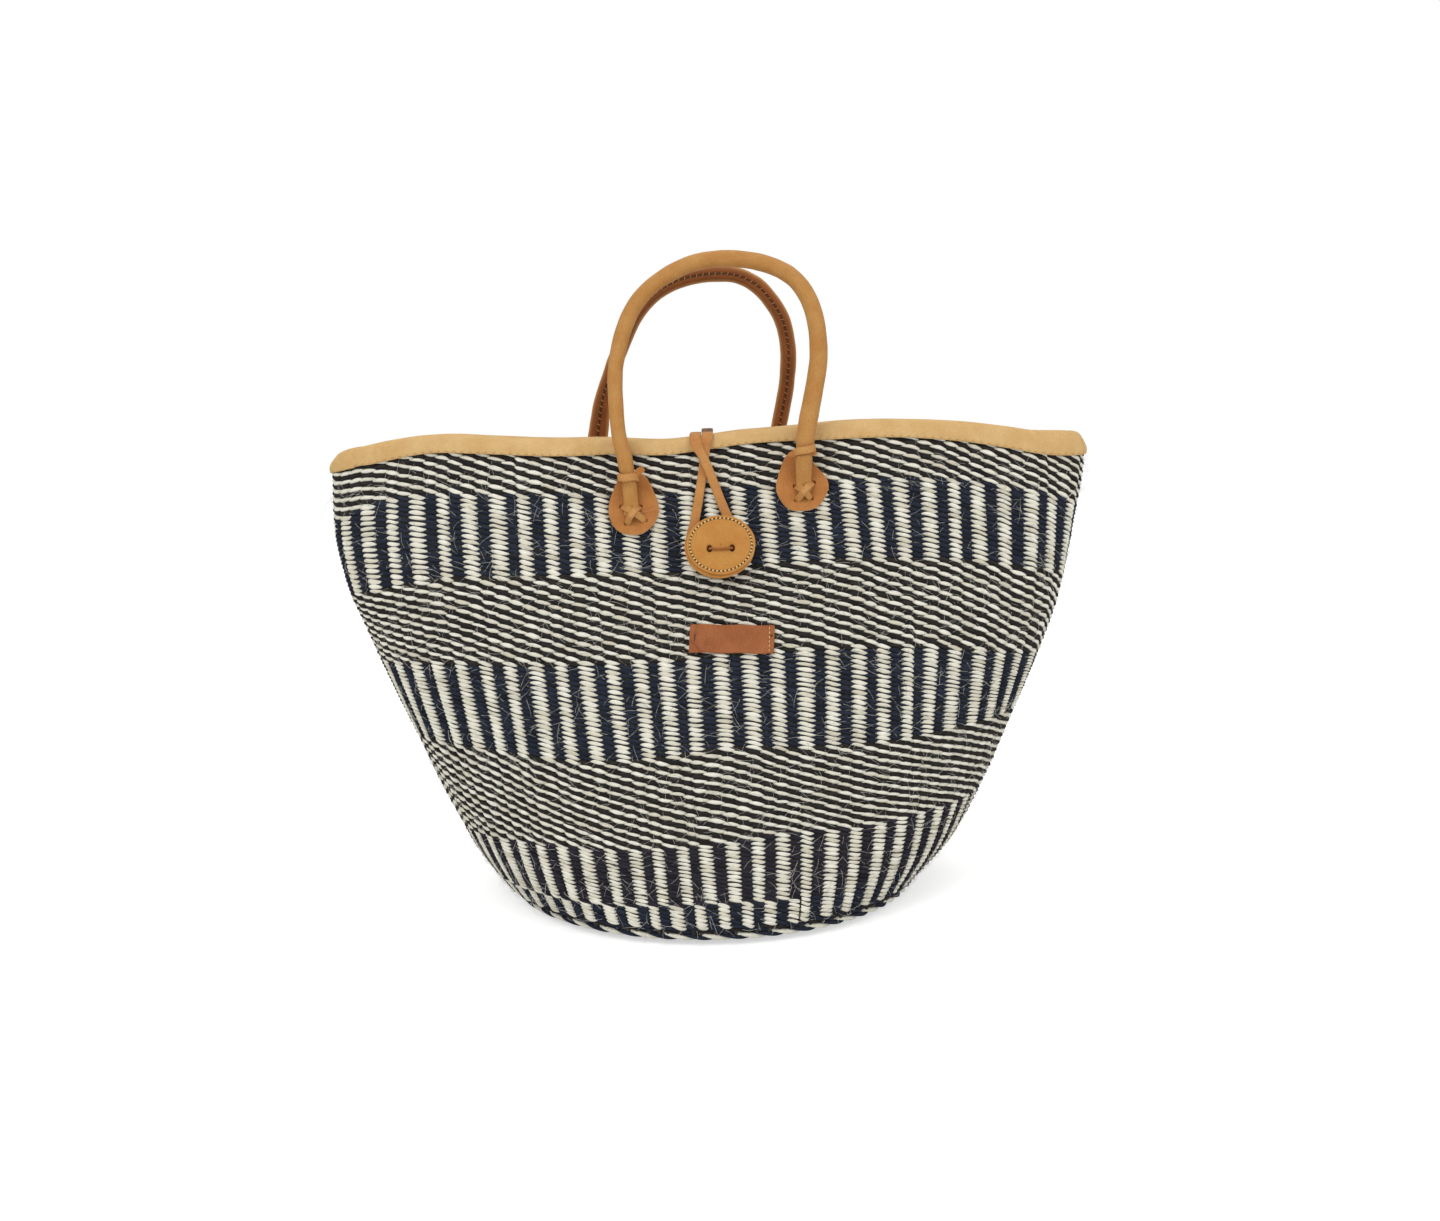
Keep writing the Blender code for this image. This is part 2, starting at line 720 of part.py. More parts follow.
def make_lacing(group, helpers, name, frame, wall):
    """Flat lace crossed over the tongue, through patch, wall and backing, and along the backing inside."""
    face = SEAT_GAP + PATCH_LEATHER + GAP + TONGUE_RISE + TONGUE_THICKNESS + GAP
    rear = -(wall + SEAT_GAP + BACKING_LEATHER + GAP)
    outer = face + LACE_LEATHER / 2
    inner = rear - LACE_LEATHER / 2
    slant = math.atan2(SLOT_HALF_RISE, SLOT_HALF_SPAN)
    length = 2.0 * math.hypot(SLOT_HALF_RISE, SLOT_HALF_SPAN) + LACE_WIDTH / 2
    boxes = [
        ((0.0, 0.0, outer), (length, LACE_WIDTH, LACE_LEATHER), slant),
        ((0.0, 0.0, outer), (length, LACE_WIDTH, LACE_LEATHER * 0.98), -slant),
    ]
    for across, rise in slot_centres():
        leg = outer - inner
        middle = (across, rise, (outer + inner) / 2)
        boxes.append((middle, (LACE_LEG_WIDTH, LACE_LEATHER, leg), 0.0))
    for hand in (-1, 1):
        run = 2.0 * SLOT_HALF_RISE + LACE_WIDTH / 2
        boxes.append(((hand * SLOT_HALF_SPAN, 0.0, inner), (LACE_WIDTH, run, LACE_LEATHER), 0.0))
    data = fused_boxes(boxes, helpers)
    place(name + "_lacing", data, group, TAN_LEATHER, LEATHER_ROUGHNESS, frame)


def slot_cutters(wall):
    """Boxes that open the wall for the lacing's legs."""
    boxes = []
    for across, rise in slot_centres():
        size = (LACE_LEG_WIDTH + 2.0 * GAP, LACE_LEATHER + 2.0 * GAP, 3.0 * wall)
        boxes.append(((across, rise, -wall / 2), size))
    return boxes


# Button

def button_frame():
    return wall_frame(BUTTON_X, BUTTON_Z, FRONT)


def button_middle():
    """Height of the middle of the two discs above the wall."""
    return BUTTON_STANDOFF + BUTTON_LEATHER + GAP / 2


def button_matrix():
    """Frame of the button, its Z along the axis of the discs and its X on the tilt axis."""
    lift = Matrix.Translation((0.0, 0.0, button_middle()))
    return button_frame() @ lift @ Matrix.Rotation(-BUTTON_TILT, 4, "X")


def disc_curve(radius):
    curve = plate_curve(BUTTON_LEATHER)
    add_straight_outline(curve, circle((0.0, 0.0), radius, RING_STEPS, BUTTON_HEIGHT_SHARE))
    for hand in (-1, 1):
        hole = circle((hand * THONG_HALF_SPAN, 0.0), THONG_RADIUS + THONG_PLAY, 10)
        add_straight_outline(curve, hole)
    return curve


def make_button(group):
    """Two leather discs and the thread of their edge, which tilt on the thong."""
    matrix = button_matrix()
    pivot = bpy.data.objects.new("button_pivot", None)
    pivot.matrix_world = matrix
    group.objects.link(pivot)
    bpy.context.view_layer.update()
    shift = (BUTTON_LEATHER + GAP) / 2
    front_matrix = matrix @ Matrix.Translation((0.0, 0.0, shift))
    rear_matrix = matrix @ Matrix.Translation((0.0, 0.0, -shift))
    front_disc = disc_curve(BUTTON_RADIUS)
    face = place("button_face", front_disc, group, TAN_LEATHER, LEATHER_ROUGHNESS, front_matrix)
    rear_disc = disc_curve(BUTTON_RADIUS + BUTTON_BACK_EXTRA)
    rear = place("button_back", rear_disc, group, TAN_LEATHER, LEATHER_ROUGHNESS, rear_matrix)
    ring_height = GAP / 2 + BUTTON_LEATHER + GAP + THREAD_RADIUS
    ring = circle((0.0, 0.0), BUTTON_RADIUS - BUTTON_THREAD_INSET, RING_STEPS, BUTTON_HEIGHT_SHARE)
    points = [Vector((x, y, ring_height)) for x, y in ring]
    curve = tube_curve(points, THREAD_RADIUS, 1, cyclic=True)
    thread = place("button_stitching", curve, group, LIGHT_THREAD, FIBRE_ROUGHNESS, matrix)
    for item in (face, rear, thread):
        hang_on(item, pivot)


def thong_wall():
    frame = button_frame()
    return wall_depth_here(frame, BUTTON_X, BUTTON_Z, FRONT)


def make_thong(group):
    """Lace that goes through both holes of the button, the wall and the washer, tied into a ring."""
    top = button_middle() + GAP / 2 + BUTTON_LEATHER + GAP + THONG_RADIUS
    low = -(thong_wall() + SEAT_GAP + WASHER_LEATHER + GAP + THONG_RADIUS)
    side = THONG_HALF_SPAN
    corner = THONG_CORNER
    outline = (
        (-side, low + corner), (-side, top - corner), (corner - side, top), (side - corner, top),
        (side, top - corner), (side, low + corner), (side - corner, low), (corner - side, low),
    )
    points = [Vector((across, 0.0, height)) for across, height in outline]
    curve = tube_curve(points, THONG_RADIUS, 2, cyclic=True)
    place("button_thong", curve, group, DARK_LACE, LEATHER_ROUGHNESS, button_frame())


def make_washer(group):
    curve = plate_curve(WASHER_LEATHER)
    add_straight_outline(curve, rectangle((0.0, 0.0), WASHER_HALF_WIDTH, WASHER_HALF_HEIGHT))
    for hand in (-1, 1):
        add_straight_outline(curve, circle((hand * THONG_HALF_SPAN, 0.0), THONG_RADIUS + GAP, 10))
    middle = -(thong_wall() + SEAT_GAP + WASHER_LEATHER / 2)
    matrix = button_frame() @ Matrix.Translation((0.0, 0.0, middle))
    place("button_washer", curve, group, BROWN_LEATHER, LEATHER_ROUGHNESS, matrix)


def thong_cutters():
    wall = thong_wall()
    hole = 2.0 * (THONG_RADIUS + GAP)
    boxes = []
    for hand in (-1, 1):
        boxes.append(((hand * THONG_HALF_SPAN, 0.0, -wall / 2), (hole, hole, 3.0 * wall)))
    return boxes


# Closure loop

def ribbon(points, faces, width, thickness):
    """Flat strap along points, its face turned the way that the given directions point."""
    rings = []
    for index, point in enumerate(points):
        ahead = points[min(index + 1, len(points) - 1)]
        behind = points[max(index - 1, 0)]
        direction = (ahead - behind).normalized()
        across = direction.cross(faces[index]).normalized() * (width / 2)
        through = across.cross(direction).normalized() * (thickness / 2)
        rings.append([point - across - through, point + across - through,
                      point + across + through, point - across + through])
    return loft(rings)


def on_wall(x, z, offset):
    frame = wall_frame(x, z, FRONT)
    return frame @ Vector((0.0, 0.0, offset)), frame.to_3x3().col[2].copy()


def tab_middle_x():
    return (LOOP_ENDS_X[0] + LOOP_ENDS_X[1]) / 2


def tab_frame():
    """Frame on the inside of the back wall, its Z towards the back."""
    return wall_frame(tab_middle_x(), TAB_Z, BACK, -WALL)


def rim_top(x):
    """Height of the binding's top above the wall's rim at x."""
    across = x / (BODY_WIDTH / 2)
    return BODY_HEIGHT + rim_rise(across, 1.0) + SEAT_GAP + BINDING_TOP


def over_the_rim(x, arch):
    """Way of a strap from the binding's front face, across the mouth, to the inside of the back wall."""
    lie = 2.0 * GAP + STRAP_LEATHER / 2
    top = rim_top(x)
    front = half_depth(1.0) + SEAT_GAP + BINDING_LEATHER + lie * CORNER_SHARE
    inner = half_depth(1.0) - WALL - SEAT_GAP - BINDING_LEATHER - 2.0 * lie
    middle = half_depth(1.0) - WALL / 2
    frame = tab_frame()
    beside = tab_middle_x() - x
    under_tab = -(SEAT_GAP + GAP + STRAP_LEATHER / 2)
    points = [
        Vector((x, -front, top - BINDING_TOP + lie * CORNER_SHARE)),
        Vector((x, -middle, top + lie)),
        Vector((x, -middle / 2, top + lie + arch)),
        Vector((x, middle / 4, top + lie + arch / 2)),
        Vector((x, inner * 0.8, top - BINDING_HEIGHT / 3)),
        Vector((x, inner, top - BINDING_HEIGHT)),
        frame @ Vector((beside, TAB_HALF_HEIGHT * 1.2, under_tab)),
        frame @ Vector((beside, -TAB_HALF_HEIGHT * 0.8, under_tab)),
    ]
    faces = [
        Vector((0.0, -0.7, 0.7)), Vector((0.0, -0.1, 1.0)), Vector((0.0, 0.0, 1.0)), Vector((0.0, 0.3, 1.0)),
        Vector((0.0, 0.9, 0.5)), Vector((0.0, 1.0, 0.1)), Vector((0.0, 1.0, -0.2)), Vector((0.0, 1.0, -0.3)),
    ]
    return points, faces


def make_closure_loop(group):
    """Strap that comes over the rim twice, crosses itself and passes behind the button."""
    lie = SEAT_GAP + GAP + STRAP_LEATHER / 2
    over_binding = SEAT_GAP + BINDING_LEATHER + 2.0 * (GAP + THREAD_RADIUS) + GAP + STRAP_LEATHER / 2
    first_x, last_x = LOOP_ENDS_X
    first_arch, last_arch = MOUTH_ARCHES
    points = []
    faces = []
    start_points, start_faces = over_the_rim(first_x, first_arch)
    points += reversed(start_points)
    faces += reversed(start_faces)
    binding_low = BODY_HEIGHT - BINDING_HEIGHT
    below = over_binding * FALL_SHARE
    above = STRAP_LEATHER + GAP
    down = []
    for (across, rise), offset in zip(DOWN_SHARES, (over_binding, over_binding, below)):
        down.append((across * STRAP_WIDTH, binding_low + rise * BINDING_HEIGHT, offset))
    for across, rise in EYE_SHARES:
        height = BUTTON_Z + rise * BUTTON_RADIUS * BUTTON_HEIGHT_SHARE
        down.append((BUTTON_X + across * BUTTON_RADIUS, height, lie))
    offsets = (below + above + GAP, over_binding + above + GAP, over_binding + above + GAP, over_binding + above)
    for (across, rise), offset in zip(UP_SHARES, offsets):
        down.append((across * STRAP_WIDTH, binding_low + rise * BINDING_HEIGHT, offset))
    for x, z, offset in down:
        point, face = on_wall(x, z, offset)
        points.append(point)
        faces.append(face)
    end_points, end_faces = over_the_rim(last_x, last_arch)
    points += end_points
    faces += end_faces
    route = smooth_route(points, STRAP_STEPS)
    turned = smooth_route(faces, STRAP_STEPS)
    data = ribbon(route, turned, STRAP_WIDTH, STRAP_LEATHER)
    loop = place("closure_loop", data, group, TAN_LEATHER, LEATHER_ROUGHNESS)
    smooth(loop)


def make_loop_tab(group):
    """Leather tab that holds the strap's two ends against the inside of the back wall."""
    inward = SEAT_GAP + GAP + STRAP_LEATHER + 2.0 * GAP + TAB_LEATHER / 2
    curve = plate_curve(TAB_LEATHER)
    add_straight_outline(curve, rectangle((0.0, 0.0), TAB_HALF_WIDTH, TAB_HALF_HEIGHT))
    matrix = tab_frame() @ Matrix.Translation((0.0, 0.0, -inward))
    place("closure_loop_tab", curve, group, TAN_LEATHER, LEATHER_ROUGHNESS, matrix)


# Label

def label_frame():
    return wall_frame(LABEL_X, LABEL_Z, FRONT) @ Matrix.Rotation(LABEL_TURN, 4, "Z")


def make_label(group):
    curve = plate_curve(LABEL_LEATHER)
    add_straight_outline(curve, rectangle((0.0, 0.0), LABEL_HALF_WIDTH, LABEL_HALF_HEIGHT))
    matrix = label_frame() @ Matrix.Translation((0.0, 0.0, SEAT_GAP + LABEL_LEATHER / 2))
    place("label", curve, group, BROWN_LEATHER, LEATHER_ROUGHNESS, matrix)


def make_label_stitch(group, name, hand):
    """Thread over one end of the label, into the weave above and below it."""
    across = hand * (LABEL_HALF_WIDTH - LABEL_STITCH_INSET)
    reach = LABEL_HALF_HEIGHT + GAP + THREAD_RADIUS
    top = SEAT_GAP + LABEL_LEATHER + GAP + THREAD_RADIUS
    low = 2.0 * SEAT_GAP + THREAD_RADIUS
    ends = ((-reach, low), (-reach, top), (reach, top), (reach, low))
    points = [Vector((across, height, outward)) for height, outward in ends]
    curve = tube_curve(points, THREAD_RADIUS, 1)
    place(name, curve, group, DARK_LACE, FIBRE_ROUGHNESS, label_frame())


# Assembly

def front_handle():
    return Handle("front", FRONT, FRONT_HINGE_X, FRONT_HINGE_Z, FRONT_HINGE_HALF_SPAN, FRONT_HINGE_TILT,
                  FRONT_ARCH_SHARES)


def back_handle():
    return Handle("back", BACK, BACK_HINGE_X, BACK_HINGE_Z, BACK_HINGE_HALF_SPAN, BACK_HINGE_TILT,
                  BACK_ARCH_SHARES)


def leg_sites(handle):
    """Name, side and wall frame of both leg ends."""
    sites = []
    for hand, word in ((-1, "left"), (1, "right")):
        x = handle.leg_x(hand)
        z = handle.leg_z(hand) - LEG_DROP
        frame = wall_frame(x, z, handle.side)
        wall = wall_depth_here(frame, x, z, handle.side)
        sites.append((handle.name + "_" + word, hand, frame, wall))
    return sites


def build():
    clear_scene()
    group = new_collection("kiondo_basket")
    cutters = new_collection("cutters")
    holes = [(button_frame(), thong_cutters())]
    for handle in (front_handle(), back_handle()):
        make_handle(group, handle)
        for name, hand, frame, wall in leg_sites(handle):
            make_tongue(group, name, handle, hand, frame)
            make_collar(group, name, handle, hand)
            make_patch(group, name, frame)
            make_backing(group, name, frame, wall)
            make_lacing(group, cutters, name, frame, wall)
            holes.append((frame, slot_cutters(wall)))
    make_woven_body(group, cutters, holes)
    make_rim_binding(group)
    make_rim_stitching(group)
    make_button(group)
    make_thong(group)
    make_washer(group)
    make_closure_loop(group)
    make_loop_tab(group)
    make_label(group)
    make_label_stitch(group, "label_left_stitch", -1)
    make_label_stitch(group, "label_right_stitch", 1)


build()
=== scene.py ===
"""Looks of the woven basket bag: twined sisal strands, leather pieces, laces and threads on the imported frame."""

import math

import bpy
import numpy as np
from mathutils import Matrix, Vector, noise


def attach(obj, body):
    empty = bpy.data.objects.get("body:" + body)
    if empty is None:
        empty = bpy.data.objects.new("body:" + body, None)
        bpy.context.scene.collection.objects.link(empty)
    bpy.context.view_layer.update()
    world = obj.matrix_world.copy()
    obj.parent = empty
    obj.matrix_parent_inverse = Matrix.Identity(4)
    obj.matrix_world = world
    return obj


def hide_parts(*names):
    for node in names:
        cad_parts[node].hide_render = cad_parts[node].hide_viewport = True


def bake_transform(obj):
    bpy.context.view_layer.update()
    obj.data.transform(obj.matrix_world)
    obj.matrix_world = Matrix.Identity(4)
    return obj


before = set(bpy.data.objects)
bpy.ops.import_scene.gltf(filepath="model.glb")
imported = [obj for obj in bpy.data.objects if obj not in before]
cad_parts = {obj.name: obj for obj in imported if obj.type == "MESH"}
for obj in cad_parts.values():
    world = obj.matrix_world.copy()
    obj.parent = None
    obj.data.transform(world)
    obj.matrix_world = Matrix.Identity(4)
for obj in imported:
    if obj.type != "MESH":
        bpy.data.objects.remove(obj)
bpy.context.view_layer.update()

# Shape of the basket, the same as in the part
BODY_WIDTH = 0.480
BODY_DEPTH = 0.254
BODY_HEIGHT = 0.285
WALL = 0.005
FLOOR = 0.005
RIM_WAVE = 0.012
ROUND_POWER = 2.0
FLAT_POWER = 2.4
WAVE_START_SHARE = 0.1
WAVE_POWER = 1.5
SOLVE_STEPS = 8
PROBE = 0.001
WIDTH_SHARES = (
    (0.0, 0.495), (0.0105, 0.53), (0.028, 0.555), (0.056, 0.585), (0.105, 0.633), (0.175, 0.69),
    (0.263, 0.746), (0.351, 0.792), (0.456, 0.848), (0.561, 0.9), (0.667, 0.946), (0.754, 0.971),
    (0.842, 0.986), (0.919, 0.996), (1.0, 1.0),
)
DEPTH_SHARES = (
    (0.0, 0.9), (0.0105, 0.965), (0.028, 1.0), (0.056, 1.0), (0.105, 0.96), (0.175, 0.9), (0.351, 0.75),
    (0.561, 0.57), (0.754, 0.4), (1.0, 0.236),
)
WAVE_SHARES = (
    (-1.0, 0.0), (-0.95, 0.06), (-0.82, 0.53), (-0.71, 0.74), (-0.565, 0.56), (-0.42, 0.38), (-0.27, 0.33),
    (-0.115, 0.14), (0.0, 0.32), (0.09, 0.52), (0.16, 0.6), (0.26, 0.72), (0.37, 0.88), (0.5, 0.89),
    (0.658, 0.7), (0.78, 0.375), (0.86, 0.12), (1.0, 0.0),
)
# How far the soft wall's two ends stand to the right of their even places, at shares of the height
LEFT_SHIFTS = (
    (0.0, -0.003), (0.05, -0.0035), (0.115, -0.0028), (0.2, 0.0), (0.6, 0.0), (0.69, -0.002), (0.76, -0.0028),
    (0.82, -0.003), (0.88, -0.001), (0.95, 0.0012), (1.0, 0.0016),
)
RIGHT_SHIFTS = (
    (0.0, 0.0), (0.03, -0.003), (0.055, -0.003), (0.115, 0.001), (0.2, 0.0), (0.6, 0.0), (0.69, -0.0014),
    (0.76, -0.0018), (0.82, -0.0012), (0.88, 0.0002), (0.95, 0.0014), (1.0, 0.0),
)
SHIFT_POWER = 4.0
GAP = 0.0003
SEAT_GAP = 0.0004

# Rim binding
BINDING_HEIGHT = 0.0105
BINDING_LEATHER = 0.0016
BINDING_TOP = 0.0018
# Height of the binding as shares of its usual height, at places across the mouth
BINDING_SHARES = (
    (-1.0, 1.12), (-0.985, 1.06), (-0.96, 0.97), (-0.9, 0.93), (-0.86, 1.0), (-0.78, 0.93), (-0.68, 0.82), (-0.55, 0.77),
    (-0.43, 0.78), (-0.315, 0.79), (-0.2, 0.66), (-0.12, 0.66), (0.0, 0.62), (0.15, 0.58), (0.25, 0.66),
    (0.34, 0.78), (0.5, 0.83), (0.58, 0.89), (0.73, 1.04), (0.85, 1.19), (0.9, 1.27), (0.96, 1.27), (1.0, 1.2),
)
# The binding's ends are rounded: how far its top is let down, and where the left and right rounding starts
CORNER_DROP = 0.005
CORNER_START_SHARES = (0.93, 0.965)
# How far its ends are pulled towards the wall, in all, at its top and at its lower edge
CORNER_PULLS = (0.0010, 0.0022, 0.0005)
# Share of the height where the cords and fibres inside the wall end, and how much lower at the rounded ends
INNER_TOP_SHARE = 0.99
INNER_DROP_SHARE = 0.013
RIM_STITCHES = 200
RIM_STITCH_RISE = 0.0010
RIM_STITCH_LENGTH = 0.0024
RIM_STITCH_RADIUS = 0.00024
RIM_STEPS = 1200
PUFF = 0.0005
PUCKER = 0.0003
PUCKER_WIDTH = 0.0011
PUCKER_HEIGHT = 0.0018

# Handles
HANDLE_RADIUS = 0.0052
HANDLE_LEATHER = 0.0014
HANDLE_LEAN = math.radians(6.0)
ARCH_HALF_WIDTH = 0.061
ARCH_RISE = 0.116
END_RUN = 0.004
HINGE_GAP = 0.0009
FRONT_HINGE = (0.0060, 0.280, 0.0522, math.radians(6.2))
BACK_HINGE = (-0.013, 0.281, 0.060, math.radians(2.4))
FRONT_ARCH_SHARES = (
    (-0.956, 0.136), (-0.972, 0.395), (-0.929, 0.549), (-0.852, 0.677), (-0.737, 0.788), (-0.553, 0.883),
    (-0.293, 0.96), (-0.043, 0.996), (0.252, 0.999), (0.547, 0.969), (0.791, 0.904), (0.943, 0.804),
    (1.025, 0.675), (1.048, 0.52), (1.022, 0.392), (0.918, 0.135),
)
BACK_ARCH_SHARES = (
    (-0.949, 0.125), (-0.89, 0.294), (-0.777, 0.461), (-0.657, 0.598), (-0.518, 0.745), (-0.338, 0.852),
    (-0.098, 0.929), (0.202, 0.968), (0.521, 0.969), (0.752, 0.922), (0.92, 0.839), (1.066, 0.711),
    (1.125, 0.545), (1.108, 0.378), (1.072, 0.266), (1.002, 0.097),
)
# How far the tube of each leg stands beside its patch, left and right
FRONT_LEG_SWAYS = (-0.0023, 0.0026)
BACK_LEG_SWAYS = (0.0, 0.0)
# How far each leg leans to the right on its way up, beside the hinge's own lean
FRONT_LEG_LEANS = (-0.035, 0.22)
BACK_LEG_LEANS = (0.0, 0.0)
# Width of the tube as shares of its usual width, by its length from the left lace to the right one
FRONT_WIDTH_SHARES = (
    (0.0, 1.0), (0.07, 0.93), (0.16, 0.86), (0.3, 0.92), (0.55, 0.98), (0.8, 1.05), (0.93, 1.08), (1.0, 1.0),
)
BACK_WIDTH_SHARES = ((0.0, 1.0), (0.3, 1.0), (0.7, 1.0), (1.0, 1.0))
HANDLE_STEPS = 12
HANDLE_SIDES = 28
SEAM_DEPTH = 0.0010
SEAM_RIDGE = 0.00035
SEAM_PITCH = 0.0040
SEAM_STITCH_LENGTH = 0.0026
SEAM_STITCH_RADIUS = 0.00032
BEND_ABOVE = 0.0100

# Leg ends
LEG_DROP = 0.032
TONGUE_THICKNESS = 0.0030
TONGUE_HALF_WIDTH = 0.0045
TONGUE_STRAIGHT = 0.0105
TONGUE_TIP_DROP = 0.0002
TONGUE_SHOULDER = 0.007
TONGUE_RISE = 0.0010
TONGUE_STEPS = 10
COLLAR_DROP = 0.0046
COLLAR_HEIGHT = 0.0046
COLLAR_LEATHER = 0.0014
COLLAR_BAND = 0.0048
# How far each collar sits above its even place, and each tongue to the right of its patch's middle
COLLAR_LIFTS = {("front", -1): -0.0004, ("front", 1): 0.0014, ("back", -1): 0.0, ("back", 1): 0.0}
TONGUE_SHIFTS = {("front", -1): 0.0, ("front", 1): 0.0013, ("back", -1): 0.0, ("back", 1): 0.0}
# Width of the tube under each collar, as a share of its usual width
COLLAR_SHARES = {("front", -1): 0.95, ("front", 1): 1.06, ("back", -1): 1.0, ("back", 1): 1.0}
PATCH_LEATHER = 0.0020
PATCH_HALF_WIDTH = 0.0165
PATCH_BELOW = 0.0115
PATCH_ABOVE = 0.0275
# Outline of each patch: places across it as shares of its half width, and heights as shares of its ends' heights
LEFT_PATCH_SHARES = (
    (-0.10, -0.93), (0.34, -0.90), (0.62, -0.65), (0.86, -0.30), (1.0, 0.08), (1.0, 0.25), (0.895, 0.48),
    (0.72, 0.73), (0.53, 0.92), (0.25, 1.0), (-0.2, 0.98), (-0.45, 0.88), (-0.67, 0.607), (-0.81, 0.356),
    (-0.85, 0.146), (-0.81, 0.0), (-0.67, -0.45), (-0.46, -0.75),
)
RIGHT_PATCH_SHARES = (
    (-0.06, -0.90), (0.28, -0.87), (0.64, -0.62), (0.90, -0.08), (1.01, 0.18), (0.90, 0.38), (0.68, 0.54),
    (0.46, 0.70), (0.28, 0.90), (0.0, 0.97), (-0.35, 0.95), (-0.6, 0.80), (-0.80, 0.50), (-0.92, 0.26),
    (-0.93, 0.12), (-0.87, -0.05), (-0.62, -0.64), (-0.33, -0.87),
)
LACE_WIDTH = 0.0045
# Places of the four slots of each front patch, upper left, upper right, lower left and lower right
LEFT_SLOTS = ((-0.0057, 0.0068), (0.0048, 0.0065), (-0.0030, -0.0038), (0.0078, -0.0021))
RIGHT_SLOTS = ((-0.0033, 0.0047), (0.0069, 0.0069), (-0.0029, -0.0038), (0.0052, -0.0030))
LACE_LEATHER = 0.0012
BACKING_LEATHER = 0.0018
BACKING_HALF_WIDTH = 0.0115
BACKING_HALF_HEIGHT = 0.0100

# Button
BUTTON_X = 0.008
BUTTON_Z = 0.2228
BUTTON_RADIUS = 0.0207
BUTTON_HEIGHT_SHARE = 0.9
BUTTON_BACK_EXTRA = 0.0005
BUTTON_LEATHER = 0.0020
BUTTON_STANDOFF = 0.0068
BUTTON_TILT = math.radians(6.0)
BUTTON_THREAD_INSET = 0.0021
BUTTON_STITCHES = 48
BUTTON_STITCH_LENGTH = 0.0015
BUTTON_STITCH_RADIUS = 0.00050
BUTTON_PRICK_LENGTH = 0.0012
BUTTON_PRICK_RADIUS = 0.00044
HOLE_DROP = 0.0024
THONG_HALF_SPAN = 0.0068
THONG_RADIUS = 0.0011
THONG_PLAY = 0.0011
WASHER_LEATHER = 0.0016
WASHER_HALF_WIDTH = 0.0120
WASHER_HALF_HEIGHT = 0.0060

# Closure loop
STRAP_WIDTH = 0.0056
STRAP_LEATHER = 0.0014
STRAP_STEPS = 8
TAB_HALF_WIDTH = 0.0150
TAB_HALF_HEIGHT = 0.0050
TAB_LEATHER = 0.0018
TAB_Z = 0.2610
LOOP_ENDS_X = (0.0014, -0.0060)
STRAP_SPREAD = 0.28
MOUTH_ARCHES = (0.0020, 0.0004)
CORNER_SHARE = 0.75
FALL_SHARE = 0.62
THREAD_RADIUS = 0.0004
EYE_SHARES = (
    (-0.64, 1.5), (-0.76, 0.85), (-0.90, 0.2), (-0.72, -0.42), (-0.12, -0.72), (0.46, -0.6),
    (0.72, -0.1), (0.58, 0.42), (0.26, 0.92), (0.05, 1.45),
)
DOWN_SHARES = ((-0.04, 0.85), (-0.12, 0.25), (-0.28, -0.40))
UP_SHARES = ((0.42, -0.66), (-0.2, 0.13), (-0.61, 0.55), (-0.95, 0.9))

# Label
LABEL_X = 0.0128
LABEL_Z = 0.1700
LABEL_HALF_WIDTH = 0.0253
LABEL_HALF_HEIGHT = 0.0086
LABEL_LEATHER = 0.0018
LABEL_TURN = math.radians(-2.4)
LABEL_STITCH_INSET = 0.0030

# Twined strands
WARPS = 120
# Height of a row at shares of the basket's height
ROW_PITCHES = (
    (0.04, 0.00250), (0.2, 0.00256), (0.38, 0.00272), (0.55, 0.00290), (0.73, 0.00292), (0.89, 0.00287),
    (1.04, 0.00284),
)
FIRST_ROW_SHARE = 0.040
LAST_ROW_SHARE = 1.040
STRAND_STEPS = (-0.64, -0.54, -0.38, -0.19, 0.0, 0.19, 0.38, 0.54, 0.64, 0.8, 1.0, 1.2)
# Reach of a stitch to each side of its warp, in warp widths
STITCH_REACH = 0.64
EDGE_REACH = 0.78
STRAND_SIDES = 6
STRAND_LIFT = 0.00135
STRAND_SWING = 0.00086
STRAND_HALF_THICKNESS = (0.00060, 0.00118)
# Half height of a stitch at its tips and at its middle, as shares of the row's height
STRAND_HALF_HEIGHTS = (0.13, 0.49)
DARK_STRAND_SHARE = 1.0
ROW_WOBBLE = 0.00030
STITCH_WOBBLE = 0.00018
SEAM_TURN = 0.5
WARP_SHIFT = 1.65
WARP_TWIST = -1.5
WARP_SWAY = 0.13
SLOW_SWAY = 0.12
CORE_THICKNESS = 0.0008
# Bands from the base up: share of the height where each ends, its pattern and its dark colour
BANDS = (
    (0.088, "blocks", "navy"),
    (0.205, "columns", "plum"),
    (0.379, "lines", "black"),
    (0.5535, "columns", "navy"),
    (0.731, "lines", "black"),
    (0.888, "columns", "navy"),
    (1.04, "lines", "black"),
)
# Warps between which the lowest columns are moved by one warp
BLOCKS_FROM_TO = (-0.5, 65.5)
